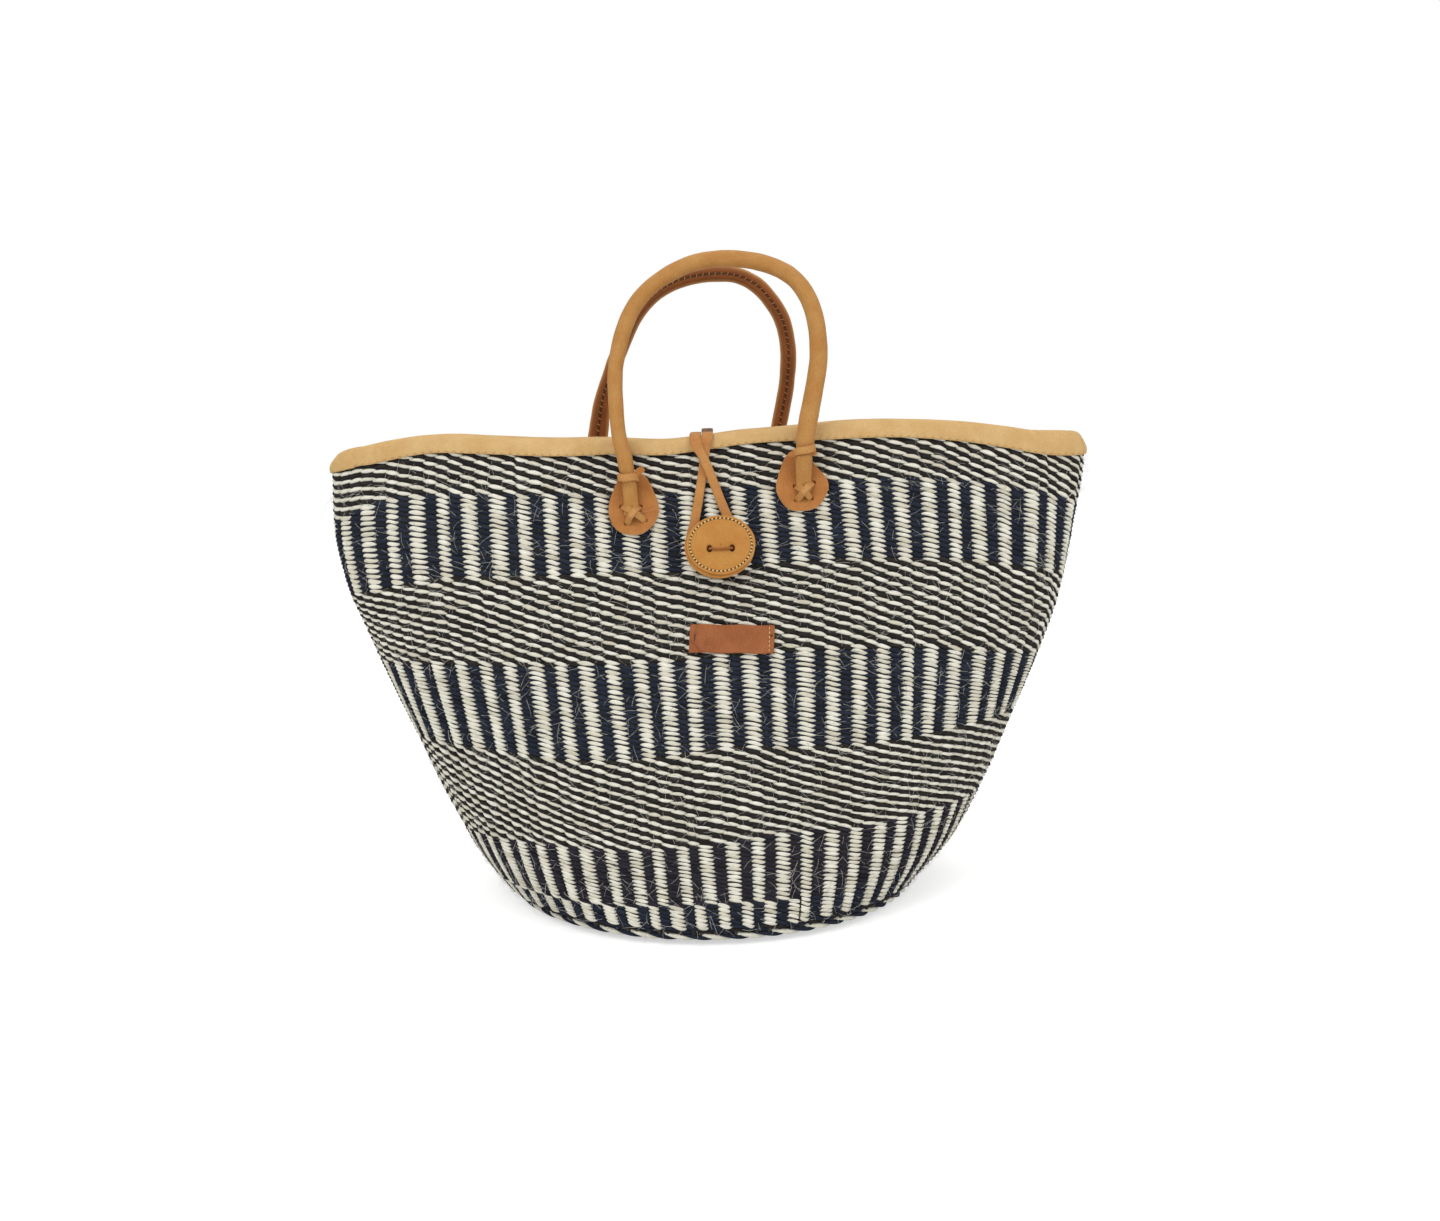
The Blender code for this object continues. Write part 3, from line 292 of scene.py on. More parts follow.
# How far the rows lie above or below level, as shares of the height, at places across the wall
ROW_PLACES = (-1.0, -0.9, -0.7, -0.45, -0.2, 0.0, 0.2, 0.45, 0.7, 0.9, 1.0)
ROW_LIFTS = (
    (0.03, (0.0, 0.0, 0.0, 0.0, 0.0, 0.0, 0.0, 0.0, 0.0, 0.0, 0.0)),
    (0.088, (-0.012, -0.012, -0.010, -0.005, 0.001, 0.003, 0.002, 0.004, 0.008, 0.010, 0.010)),
    (0.205, (-0.030, -0.028, -0.017, -0.019, -0.012, -0.003, 0.006, 0.004, 0.013, 0.018, 0.020)),
    (0.379, (0.003, 0.001, -0.009, -0.020, -0.011, 0.003, -0.004, -0.008, 0.004, 0.018, 0.020)),
    (0.5535, (-0.014, -0.012, -0.012, -0.009, -0.002, 0.004, 0.003, -0.001, -0.011, -0.030, -0.046)),
    (0.731, (-0.038, -0.028, -0.012, -0.005, 0.001, 0.0, 0.002, -0.002, -0.007, -0.025, -0.040)),
    (0.888, (-0.030, 0.0, 0.005, 0.010, 0.011, 0.013, 0.007, 0.004, 0.0, -0.016, -0.042)),
)
EDGE_WARPS = 76
EDGE_SHARE = 0.0150
EDGE_LIFT = 0.0010
EDGE_SWING = 0.0019
EDGE_HALF_THICKNESS = (0.0010, 0.0015)
EDGE_HALF_HEIGHT = (0.0007, 0.0017)
BASE_PITCH = 0.0033
BASE_STITCH = 0.0076

FRONT = 1
BACK = -1
SEED = 20


def srgb(red, green, blue):
    """Linear colour of a screen colour."""
    parts = [part / 255.0 for part in (red, green, blue)]
    return tuple(((part + 0.055) / 1.055) ** 2.4 if part > 0.04 else part / 12.92 for part in parts)


# Shape functions, on arrays

def table_values(table, position):
    """Smooth values of a table of (place, value) pairs."""
    places = np.array([place for place, _ in table])
    values = np.array([value for _, value in table])
    position = np.clip(position, places[0], places[-1])
    last = len(table) - 1
    index = np.clip(np.searchsorted(places, position) - 1, 0, last - 1)
    before = np.maximum(index - 1, 0)
    after = np.minimum(index + 2, last)
    span = places[index + 1] - places[index]
    share = (position - places[index]) / span
    slope_start = (values[index + 1] - values[before]) / (places[index + 1] - places[before])
    slope_end = (values[after] - values[index]) / (places[after] - places[index])
    square = share ** 2
    cube = share ** 3
    value = (2 * cube - 3 * square + 1) * values[index]
    value = value + (cube - 2 * square + share) * span * slope_start
    value = value + (3 * square - 2 * cube) * values[index + 1]
    return value + (cube - square) * span * slope_end


def half_width(share):
    return BODY_WIDTH / 2 * table_values(WIDTH_SHARES, share)


def half_depth(share):
    return BODY_DEPTH / 2 * table_values(DEPTH_SHARES, share)


def flatness(share):
    return ROUND_POWER + (FLAT_POWER - ROUND_POWER) * np.clip(share, 0.0, 1.0)


def rim_rise(across, share):
    """Height that the rim's wave adds at a place across the wall, fading out towards the base."""
    reach = np.clip((share - WAVE_START_SHARE) / (1.0 - WAVE_START_SHARE), 0.0, 1.0)
    return RIM_WAVE * table_values(WAVE_SHARES, across) * reach ** WAVE_POWER


def end_shift(across, share):
    """How far a place near the wall's ends stands to the right of its even place."""
    shift = np.where(across < 0.0, table_values(LEFT_SHIFTS, share), table_values(RIGHT_SHIFTS, share))
    return shift * np.abs(across) ** SHIFT_POWER


def unit(vectors):
    return vectors / np.maximum(np.linalg.norm(vectors, axis=-1, keepdims=True), 1e-12)


class Section:
    """The wall's section by even steps round it. Turn 0 is the middle of the front, 0.25 the right end."""

    shares = np.linspace(0.0, 1.0, 121)
    cells = 928

    def __init__(self):
        angles = np.linspace(-math.pi / 2, 1.5 * math.pi, 8001)
        cosine = np.cos(angles)
        sine = np.sin(angles)
        turns = np.linspace(0.0, 1.0, self.cells + 1)
        table = []
        for share in self.shares:
            power = 2.0 / flatness(share)
            across = np.sign(cosine) * np.abs(cosine) ** power
            along = np.sign(sine) * np.abs(sine) ** power
            steps = np.hypot(np.diff(across) * half_width(share), np.diff(along) * half_depth(share))
            length = np.concatenate([[0.0], np.cumsum(steps)])
            places = length / length[-1]
            table.append(np.stack([np.interp(turns, places, across), np.interp(turns, places, along)], -1))
        self.table = np.array(table)

    def shape(self, share, turn):
        """Place on the section as shares of its half width and half depth."""
        row = np.clip(share, 0.0, 1.0) * (len(self.shares) - 1)
        cell = np.mod(turn, 1.0) * self.cells
        row_low = np.minimum(row.astype(int), len(self.shares) - 2)
        cell_low = np.minimum(cell.astype(int), self.cells - 1)
        row_share = (row - row_low)[..., None]
        cell_share = (cell - cell_low)[..., None]
        low = self.table[row_low, cell_low] * (1 - cell_share) + self.table[row_low, cell_low + 1] * cell_share
        high_start = self.table[row_low + 1, cell_low] * (1 - cell_share)
        high = high_start + self.table[row_low + 1, cell_low + 1] * cell_share
        return low * (1 - row_share) + high * row_share

    def points(self, share, turn, grow=0.0, lift=0.0):
        share, turn = np.broadcast_arrays(np.asarray(share, float), np.asarray(turn, float))
        place = self.shape(share, turn)
        x = place[..., 0] * (half_width(share) + grow) + end_shift(place[..., 0], share)
        y = place[..., 1] * (half_depth(share) + grow)
        return np.stack([x, y, share * BODY_HEIGHT + rim_rise(place[..., 0], share) + lift], -1)

    def axes(self, share, turn):
        """Points, and the ways round the wall, up it and out of it."""
        share, turn = np.broadcast_arrays(np.asarray(share, float), np.asarray(turn, float))
        step = 1.0 / self.cells
        round_way = unit(self.points(share, turn + step) - self.points(share, turn - step))
        high = self.points(np.minimum(share + 0.004, 1.0), turn)
        up_way = unit(high - self.points(np.maximum(share - 0.004, 0.0), turn))
        out_way = unit(np.cross(round_way, up_way))
        return self.points(share, turn), round_way, np.cross(out_way, round_way), out_way


section = Section()


def wall_point(x, z, side, grow=0.0):
    """Point on the front or back wall at a given x and z."""
    x, z = np.broadcast_arrays(np.asarray(x, float), np.asarray(z, float))
    share = z / BODY_HEIGHT
    for _ in range(SOLVE_STEPS):
        across = x / (half_width(share) + grow)
        share = (z - rim_rise(across, share)) / BODY_HEIGHT
    power = flatness(share)
    across = np.abs(x) / (half_width(share) + grow)
    depth = (half_depth(share) + grow) * np.maximum(1.0 - across ** power, 0.0) ** (1.0 / power)
    return np.stack([x, -side * depth, z], -1)


def wall_axes(x, z, side, grow=0.0):
    """Point on the wall, and the ways across the wall, up it and out of it."""
    x, z = np.broadcast_arrays(np.asarray(x, float), np.asarray(z, float))
    ahead = wall_point(x + PROBE, z, side, grow) - wall_point(x - PROBE, z, side, grow)
    across = unit(ahead * side)
    rising = wall_point(x, z + PROBE, side, grow) - wall_point(x, z - PROBE, side, grow)
    out = unit(np.cross(across, rising))
    return wall_point(x, z, side, grow), across, np.cross(out, across), out


def wall_frame(x, z, side, grow=0.0):
    """Frame on the wall: its X runs across the wall, its Y up the wall and its Z outward."""
    spot, across, rising, out = wall_axes(x, z, side, grow)
    matrix = Matrix((Vector(across), Vector(rising), Vector(out))).transposed().to_4x4()
    matrix.translation = Vector(spot)
    return matrix


def wall_depth_here(matrix, x, z, side):
    inner = Vector(wall_point(x, z, side, -WALL))
    return (matrix.translation - inner).dot(matrix.to_3x3().col[2])


def in_frame(matrix, points):
    """Points of a frame in the row frame."""
    turn = np.array(matrix.to_3x3())
    return points @ turn.T + np.array(matrix.translation)


def on_wall(matrix, side, points, grow=0.0):
    """Points of a frame on the wall, laid along the wall's own curve instead of flat."""
    flat = points.copy()
    flat[..., 2] = 0.0
    flat = in_frame(matrix, flat)
    spot, _, _, out = wall_axes(flat[..., 0], flat[..., 2], side, grow)
    return spot + out * points[..., 2:3]


def smooth_route(points, steps):
    """Points on a smooth curve through the given ones, with so many steps between two of them."""
    points = np.asarray(points, float)
    last = len(points) - 1
    route = []
    for index in range(last):
        before = points[max(index - 1, 0)]
        start = points[index]
        end = points[index + 1]
        after = points[min(index + 2, last)]
        for step in range(steps):
            share = step / steps
            square = share ** 2
            cube = share ** 3
            point = start * (2 * cube - 3 * square + 1) + end * (3 * square - 2 * cube)
            point = point + (end - before) * ((cube - 2 * square + share) / 2)
            route.append(point + (after - start) * ((cube - square) / 2))
    route.append(points[-1])
    return np.array(route)


def bumps(points, size, seed=0.0):
    """Smooth noise from -1 to 1 at each point, with features of a size."""
    flat = points.reshape(-1, 3) / size + seed
    values = [noise.noise(Vector(point)) for point in flat]
    return np.array(values).reshape(points.shape[:-1])


def ease(value):
    value = np.clip(value, 0.0, 1.0)
    return value * value * (3.0 - 2.0 * value)


# Meshes

def quad_piece(name, points, quads, material, maps=None, values=None):
    """Smooth mesh object of four-sided faces, with UV maps by corner and values by point."""
    mesh = bpy.data.meshes.new(name)
    mesh.vertices.add(len(points))
    mesh.vertices.foreach_set("co", np.ascontiguousarray(points, np.float32).ravel())
    mesh.loops.add(quads.size)
    mesh.loops.foreach_set("vertex_index", np.ascontiguousarray(quads, np.int32).ravel())
    mesh.polygons.add(len(quads))
    mesh.polygons.foreach_set("loop_start", np.arange(0, quads.size, 4, dtype=np.int32))
    mesh.update(calc_edges=True)
    mesh.shade_smooth()
    for key, corners in (maps or {}).items():
        layer = mesh.uv_layers.new(name=key)
        layer.data.foreach_set("uv", np.ascontiguousarray(corners, np.float32).ravel())
    for key, numbers in (values or {}).items():
        attribute = mesh.attributes.new(key, "FLOAT", "POINT")
        attribute.data.foreach_set("value", np.ascontiguousarray(numbers, np.float32).ravel())
    mesh.materials.append(material)
    item = bpy.data.objects.new(name, mesh)
    bpy.context.scene.collection.objects.link(item)
    return item


def ring_quads(tubes, rings, sides, closed=False):
    """Faces between neighbouring rings of points, and the UV steps of their corners."""
    tube, ring, side = np.meshgrid(
        np.arange(tubes), np.arange(rings if closed else rings - 1), np.arange(sides), indexing="ij")
    tube, ring, side = tube.ravel(), ring.ravel(), side.ravel()
    steps = ((0, 0), (1, 0), (1, 1), (0, 1))
    quads = [(tube * rings + (ring + a) % rings) * sides + (side + b) % sides for a, b in steps]
    corners = [np.stack([tube, ring + a, side + b], -1) for a, b in steps]
    return np.stack(quads, -1), np.stack(corners, 1)


def swept(centre, first, second, profile_first, profile_second, closed=False):
    """Points of tubes: rings round each centre, with the profile's size along two ways."""
    tubes, rings = centre.shape[:2]
    sides = profile_first.shape[-1]
    points = centre[:, :, None] + first[:, :, None] * profile_first[..., None]
    points = points + second[:, :, None] * profile_second[..., None]
    quads, corners = ring_quads(tubes, rings, sides, closed)
    return points.reshape(-1, 3), quads, corners


def path_ways(route, guide, closed=False):
    """Way along a route, the guide made square to it, and the way across both."""
    if closed:
        along = unit(np.roll(route, -1, 0) - np.roll(route, 1, 0))
    else:
        along = unit(np.gradient(route, axis=0))
    face = unit(guide - along * np.sum(guide * along, -1, keepdims=True))
    return along, face, np.cross(along, face)


def lengths(route):
    steps = np.linalg.norm(np.diff(route, axis=0), axis=-1)
    return np.concatenate([[0.0], np.cumsum(steps)])


def strap_profile(sides=16, square=0.45):
    """Shares of half width and half thickness round a flat strap with soft edges."""
    angles = np.arange(sides) * 2 * math.pi / sides
    across = np.sign(np.cos(angles)) * np.abs(np.cos(angles)) ** square
    through = np.sign(np.sin(angles)) * np.abs(np.sin(angles)) ** 0.75
    return across, through


def strap_piece(name, route, faces, width, thickness, material, closed=False, taper=None, shade=None):
    """Flat leather strap along a route, its face turned to the given ways."""
    along, face, across = path_ways(route, faces, closed)
    profile_across, profile_through = strap_profile()
    size = np.ones(len(route)) if taper is None else taper
    wide = (size[:, None] * profile_across * width / 2)[None]
    thick = (np.minimum(1.0, size * 3)[:, None] * profile_through * thickness / 2)[None]
    points, quads, corners = swept(route[None], across[None], face[None], wide, thick, closed)
    distance = lengths(np.concatenate([route, route[:1]]) if closed else route)
    around = np.arange(17) * (width + thickness) * 2 / 16
    uv = np.stack([distance[corners[..., 1]], around[corners[..., 2]]], -1)
    cut = np.tile(np.abs(profile_across) ** 6, len(route))
    dark = cut * 0.0 if shade is None else np.repeat(shade, len(profile_across))
    return quad_piece(name, points, quads, material, {"Surface": uv}, {"cut": cut, "dark": dark})


def rounded_outline(points, steps):
    """Closed smooth outline through points, in even steps."""
    ring = [np.array(point, float) for point in points]
    route = smooth_route(np.array(ring[-1:] + ring + ring[:2]), 12)[12:-12]
    distance = lengths(route)
    even = np.linspace(0.0, distance[-1], steps + 1)[:-1]
    return np.stack([np.interp(even, distance, route[:, 0]), np.interp(even, distance, route[:, 1])], -1)


def rectangle_outline(half_wide, half_high, corner, steps):
    """Rectangle with rounded corners, in even steps from the middle of its right side."""
    points = []
    for turn, (sx, sy) in enumerate(((1, 1), (-1, 1), (-1, -1), (1, -1))):
        for step in range(7):
            angle = (turn + step / 6) * math.pi / 2
            points.append((sx * (half_wide - corner) + math.cos(angle) * corner,
                           sy * (half_high - corner) + math.sin(angle) * corner))
    points = np.array(points + points[:1])
    distance = lengths(points)
    even = np.linspace(0.0, distance[-1], steps + 1)[:-1]
    return np.stack([np.interp(even, distance, points[:, 0]), np.interp(even, distance, points[:, 1])], -1)


def plate_piece(name, outline, thickness, material, place, rings=24, relief=None, edge=0.0005, centre=(0.0, 0.0)):
    """Leather plate with soft edges. Relief gives the rise and darkness of its face at each place."""
    centre = np.array(centre)
    spokes = outline - centre
    reach = np.linalg.norm(spokes, axis=-1)
    face = np.linspace(0.02, 1.0, rings)
    rows = [(share, edge, thickness, 0.0) for share in face]
    for angle in (22.5, 45.0, 67.5, 90.0):
        turn = math.radians(angle)
        rows.append((1.0, edge * (1 - math.sin(turn)), thickness - edge * (1 - math.cos(turn)), angle / 90.0))
    for angle in (90.0, 60.0, 30.0, 0.0):
        turn = math.radians(angle)
        rows.append((1.0, edge * (1 - math.sin(turn)), edge * (1 - math.cos(turn)), angle / 90.0))
    rows += [(share, edge, 0.0, 0.0) for share in (0.8, 0.5, 0.02)]
    points, cut, dark = [], [], []
    for index, (share, inset, height, edge_value) in enumerate(rows):
        scale = (share * (1.0 - inset / reach))[:, None]
        flat = centre + spokes * scale
        rise = np.zeros(len(flat))
        shade = np.zeros(len(flat))
        if relief is not None and index < rings + 3:
            rise, shade = relief(flat[:, 0], flat[:, 1], share)
        points.append(np.column_stack([flat, height + rise]))
        cut.append(np.full(len(flat), edge_value))
        dark.append(shade)
    points = np.array(points)
    quads, corners = ring_quads(1, len(rows), len(outline))
    quads = quads[:, ::-1]
    flat = points[corners[:, ::-1, 1], corners[:, ::-1, 2] % len(outline)]
    uv = flat[..., :2] + flat[..., 2:3] * 0.7
    values = {"cut": np.array(cut), "dark": np.array(dark)}
    return quad_piece(name, place(points).reshape(-1, 3), quads, material, {"Surface": uv}, values)


def stitch_piece(name, middles, ways, outs, length, radius, material, sink=0.3, sides=7):
    """Short threads that come out of the surface and go back in."""
    steps = np.linspace(-1.0, 1.0, 7)
    middles, ways, outs = (np.asarray(part, float) for part in (middles, ways, outs))
    height = radius * (1.0 - (1.0 + sink * 2) * steps ** 4)
    centre = middles[:, None] + ways[:, None] * (steps * length / 2)[:, None]
    centre = centre + outs[:, None] * height[:, None]
    out = np.repeat(outs[:, None], 7, 1)
    across = np.cross(np.repeat(ways[:, None], 7, 1), out)
    angles = np.arange(sides) * 2 * math.pi / sides
    size = radius * (1.0 - 0.75 * steps ** 8)
    first = np.broadcast_to(size[:, None] * np.cos(angles), (len(middles), 7, sides))
    second = np.broadcast_to(size[:, None] * np.sin(angles), (len(middles), 7, sides))
    points, quads, corners = swept(centre, across, out, first, second)
    uv = np.stack([corners[..., 1] * length / 6, corners[..., 2] * radius], -1)
    return quad_piece(name, points, quads, material, {"Surface": uv})


# Materials

class Look:
    """A material whose nodes are added one by one."""

    def __init__(self, name):
        self.material = bpy.data.materials.new(name)
        self.material.use_nodes = True
        self.tree = self.material.node_tree
        self.surface = self.tree.nodes["Principled BSDF"]

    def add(self, kind, settings=None, **sockets):
        node = self.tree.nodes.new(kind)
        for key, value in (settings or {}).items():
            setattr(node, key, value)
        for key, value in sockets.items():
            self.put(node.inputs[key.replace("_", " ")], value)
        return node

    def put(self, socket, value):
        if isinstance(value, bpy.types.NodeSocket):
            self.tree.links.new(value, socket)
        else:
            socket.default_value = value

    def set(self, **sockets):
        for key, value in sockets.items():
            self.put(self.surface.inputs[key.replace("_", " ")], value)

    def uv(self, name, scale):
        source = self.add("ShaderNodeUVMap", {"uv_map": name})
        return self.add("ShaderNodeMapping", Vector=source.outputs["UV"], Scale=scale).outputs["Vector"]

    def noise(self, vector, scale, detail=3.0, roughness=0.5):
        node = self.add("ShaderNodeTexNoise", Vector=vector, Scale=scale, Detail=detail, Roughness=roughness)
        return node.outputs["Fac"]

    def value(self, name):
        return self.add("ShaderNodeAttribute", {"attribute_name": name}).outputs["Fac"]

    def ramp(self, value, low, high, low_out=0.0, high_out=1.0):
        node = self.add("ShaderNodeMapRange", Value=value)
        for key, number in (("From Min", low), ("From Max", high), ("To Min", low_out), ("To Max", high_out)):
            node.inputs[key].default_value = number
        return node.outputs["Result"]

    def blend(self, share, first, second, mode="MIX"):
        node = self.add("ShaderNodeMix", {"data_type": "RGBA", "blend_type": mode})
        self.put(node.inputs[0], share)
        for socket, colour in ((node.inputs[6], first), (node.inputs[7], second)):
            self.put(socket, (*colour, 1.0) if isinstance(colour, tuple) and len(colour) == 3 else colour)
        return node.outputs[2]

    def math(self, operation, first, second):
        node = self.add("ShaderNodeMath", {"operation": operation})
        self.put(node.inputs[0], first)
        self.put(node.inputs[1], second)
        return node.outputs[0]

    def bump(self, height, distance, strength=1.0, normal=None):
        node = self.add("ShaderNodeBump", Height=height, Distance=distance, Strength=strength)
        if normal is not None:
            self.put(node.inputs["Normal"], normal)
        return node.outputs["Normal"]


def sisal_look(name, main, light, dark):
    """Twisted plant fibre: fine streaks along the strand and a tone of its own for each stitch."""
    look = Look(name)
    streaks = look.noise(look.uv("Strand", (160.0, 3600.0, 1.0)), 1.0, 4.0, 0.6)
    slow = look.noise(look.uv("Strand", (45.0, 500.0, 1.0)), 1.0, 2.0)
    colour = look.blend(look.ramp(streaks, 0.42, 0.72), main, light)
    colour = look.blend(look.ramp(streaks, 0.46, 0.26), colour, dark)
    colour = look.blend(look.ramp(slow, 0.4, 0.75, 0.0, 0.5), colour, light)
    colour = look.blend(look.ramp(look.value("tone"), 0.0, 1.0, 0.0, 0.6), colour, dark)
    look.set(Base_Color=colour, Roughness=0.85, Specular_IOR_Level=0.2)
    look.set(Normal=look.bump(streaks, 0.00035, 0.8))
    return look.material


def leather_look(name, main, light, deep, edge, roughness=0.5, grain=0.00012, shine=0.25, inner=None):
    """Vegetable-tanned hide: cloudy colour, fine grain, paler cut edges and painted shade in its hollows and creases.
    """
    look = Look(name)
    place = look.uv("Surface", (1.0, 1.0, 1.0))
    clouds = look.noise(place, 70.0, 4.0, 0.6)
    fine = look.noise(place, 900.0, 4.0, 0.6)
    pores = look.add("ShaderNodeTexVoronoi", {"feature": "DISTANCE_TO_EDGE"}, Vector=place, Scale=1500.0)
    scuffs = look.noise(look.uv("Surface", (60.0, 900.0, 1.0)), 1.0, 3.0, 0.7)
    colour = look.blend(look.ramp(clouds, 0.35, 0.68), main, light)
    colour = look.blend(look.ramp(fine, 0.45, 0.75, 0.0, 0.45), colour, deep)
    colour = look.blend(look.ramp(scuffs, 0.66, 0.82, 0.0, 0.35), colour, light)
    if inner is not None:
        # The inner value gives the handle's inner side a darker colour.
        inner_side_colour = look.blend(look.ramp(clouds, 0.3, 0.7), inner, tuple(part * 0.7 for part in inner))
        colour = look.blend(look.value("inner"), colour, inner_side_colour)
    colour = look.blend(look.ramp(look.value("cut"), 0.35, 1.0, 0.0, 0.8), colour, edge)
    # Painted shade: the dark value darkens the leather in slots, holes, grooves, creases and under laid-over parts.
    colour = look.blend(look.ramp(look.value("dark"), 0.0, 1.0), colour, tuple(part * 0.12 for part in deep))
    rough = look.ramp(fine, 0.3, 0.7, roughness - 0.06, roughness + 0.12)
    height = look.math("ADD", look.ramp(pores.outputs["Distance"], 0.0, 0.25), look.math("MULTIPLY", clouds, 1.2))
    look.set(Base_Color=colour, Roughness=rough, Specular_IOR_Level=shine)
    look.set(Normal=look.bump(height, grain, 0.7))
    return look.material


def thread_look(name, main, dark):
    look = Look(name)
    twist = look.add("ShaderNodeTexWave", {"bands_direction": "DIAGONAL"},
                     Vector=look.uv("Surface", (1.0, 1.0, 1.0)), Scale=900.0)
    look.set(Base_Color=look.blend(twist.outputs["Fac"], dark, main), Roughness=0.7)
    look.set(Normal=look.bump(twist.outputs["Fac"], 0.0001, 0.6))
    return look.material


def plain_fibre_look(name, colour):
    look = Look(name)
    variation = look.noise(look.uv("Surface", (200.0, 200.0, 1.0)), 1.0, 2.0)
    look.set(Base_Color=look.blend(variation, tuple(part * 0.75 for part in colour), colour), Roughness=0.6)
    return look.material


looks = {
    "cream": sisal_look("cream_sisal", srgb(249, 245, 226), srgb(255, 254, 246), srgb(196, 186, 156)),
    "navy": sisal_look("navy_sisal", srgb(28, 33, 45), srgb(56, 64, 82), srgb(11, 13, 18)),
    "black": sisal_look("black_sisal", srgb(33, 30, 28), srgb(66, 61, 58), srgb(13, 12, 12)),
    "plum": sisal_look("plum_sisal", srgb(36, 33, 42), srgb(66, 62, 74), srgb(14, 13, 17)),
    "pale": leather_look("pale_leather", srgb(214, 174, 114), srgb(226, 190, 132), srgb(192, 144, 84),
                         srgb(226, 192, 140), 0.6, 0.00008, 0.2),
    "tan": leather_look("tan_leather", srgb(196, 132, 56), srgb(206, 148, 74), srgb(168, 104, 40),
                        srgb(214, 160, 96)),
    "handle": leather_look("handle_leather", srgb(192, 134, 68), srgb(204, 152, 86), srgb(160, 100, 44),
                           srgb(212, 162, 100), inner=srgb(150, 84, 34)),
    "patch": leather_look("patch_leather", srgb(182, 114, 54), srgb(198, 134, 70), srgb(148, 84, 36),
                          srgb(236, 194, 142)),
    "strap": leather_look("strap_leather", srgb(192, 128, 68), srgb(206, 148, 84), srgb(152, 92, 42),
                          srgb(208, 152, 92)),
    # The lacing's edge colour is darker than its face: dark cut edges, and painted shade along the laces' sides.
    "lacing": leather_look("lacing_leather", srgb(200, 144, 80), srgb(212, 160, 98), srgb(160, 102, 48),
                           srgb(150, 92, 44)),
    "brown": leather_look("brown_leather", srgb(157, 90, 48), srgb(174, 106, 62), srgb(118, 60, 32),
                          srgb(176, 108, 66), 0.55),
    "lace": leather_look("button_lace_leather", srgb(158, 92, 38), srgb(176, 110, 52), srgb(96, 46, 20),
                         srgb(150, 90, 44)),
    "thread": thread_look("light_thread", srgb(255, 234, 168), srgb(226, 182, 104)),
    "seam_thread": thread_look("seam_thread", srgb(196, 146, 88), srgb(130, 82, 44)),
    "rim_thread": thread_look("pale_thread", srgb(212, 172, 112), srgb(184, 142, 84)),
    # Dark thread, also used for the painted shade in the button's prick holes.
    "dark_thread": thread_look("dark_thread", srgb(92, 52, 34), srgb(52, 30, 22)),
    # The wall core's dark colour is painted shade for the gaps between stitches.
    "core": plain_fibre_look("core_painted_shade", srgb(30, 27, 25)),
    "warp": plain_fibre_look("warp_cord", srgb(74, 66, 54)),
    "cord": plain_fibre_look("cord", srgb(190, 176, 140)),
    "hair": plain_fibre_look("pale_hair", srgb(242, 240, 230)),
    "dark_hair": plain_fibre_look("dark_hair", srgb(40, 40, 48)),
}


# Twined wall

def row_table():
    """Row number against share of the height, for rows laid at their pitch along the wall."""
    shares = np.linspace(FIRST_ROW_SHARE, LAST_ROW_SHARE, 600)
    lengths_up = []
    for turn in (0.0, 0.12, 0.25, 0.38, 0.5):
        lengths_up.append(lengths(section.points(shares, np.full(len(shares), turn))))
    steps = np.diff(np.mean(lengths_up, 0)) / table_values(ROW_PITCHES, (shares[1:] + shares[:-1]) / 2)
    return np.concatenate([[0.0], np.cumsum(steps)]), shares


row_numbers, row_shares = row_table()
ROWS = int(row_numbers[-1])


def row_share(row, turn):
    """Share of the height of a row at a turn. The rows aren't level: they follow the hands that wove them."""
    level = np.interp(row, row_numbers, row_shares)
    across = section.shape(np.minimum(level, 1.0), turn)[..., 0]
    heights = [height for height, _ in ROW_LIFTS]
    by_height = [table_values(tuple(zip(ROW_PLACES, lifts)), across) for _, lifts in ROW_LIFTS]
    lift = by_height[0] * (level < heights[0])
    for index in range(len(heights) - 1):
        share = (level - heights[index]) / (heights[index + 1] - heights[index])
        inside = (share >= 0.0) & (share < 1.0)
        lift = lift + inside * (by_height[index] * (1.0 - share) + by_height[index + 1] * share)
    return level + lift + (level >= heights[-1]) * by_height[-1]


def warp_sways():
    """How far each warp stands off its even place, at the bottom and half way up, in warp widths."""
    rng = np.random.default_rng(SEED + 5)
    return WARP_SWAY * rng.standard_normal((2, WARPS + 1))


sways = warp_sways()


def warp_turn(place, share):
    """Turn of a place counted in warps. The warps wander a little on their way up."""
    flat = np.mod(place, WARPS)
    numbers = np.arange(WARPS + 1)
    first, second = (np.interp(flat, numbers, np.append(sway[:-1], sway[0])) for sway in sways)
    sway = first * np.cos(share * 6.0) + second * np.sin(share * 6.0)
    slow = SLOW_SWAY * np.sin(flat / WARPS * 2 * math.pi * 5 + share * 4.0)
    return SEAM_TURN + (place + WARP_SHIFT + WARP_TWIST * share + sway + slow) / WARPS


def band_rows():
    """First and last row of each band, with its pattern and colour."""
    start = 0
    bands = []
    for top, pattern, dark in BANDS:
        end = min(ROWS, int(round(np.interp(top, row_shares, row_numbers))))
        if top >= 1.0:
            end = ROWS
        bands.append((start, end, pattern, dark))
        start = end
    return bands


def bake_map(corners, rings_each, sides):
    """UV map that gives each stretch of a strand its own cell."""
    blocks_each = -(-(int(corners[..., 1].max())) // rings_each)
    tube = corners[:, :1, 0]
    first_ring = corners[..., 1].min(1, keepdims=True)
    block = tube * blocks_each + first_ring // rings_each
    count = int(block.max()) + 1
    columns = int(math.ceil(math.sqrt(count)))
    along = (corners[..., 1] - (first_ring // rings_each) * rings_each) / rings_each
    around = corners[..., 2] / sides
    u = (block % columns + 0.03 + 0.94 * along) / columns
    v = (block // columns + 0.03 + 0.94 * around) / columns
    return np.stack([u, v], -1)


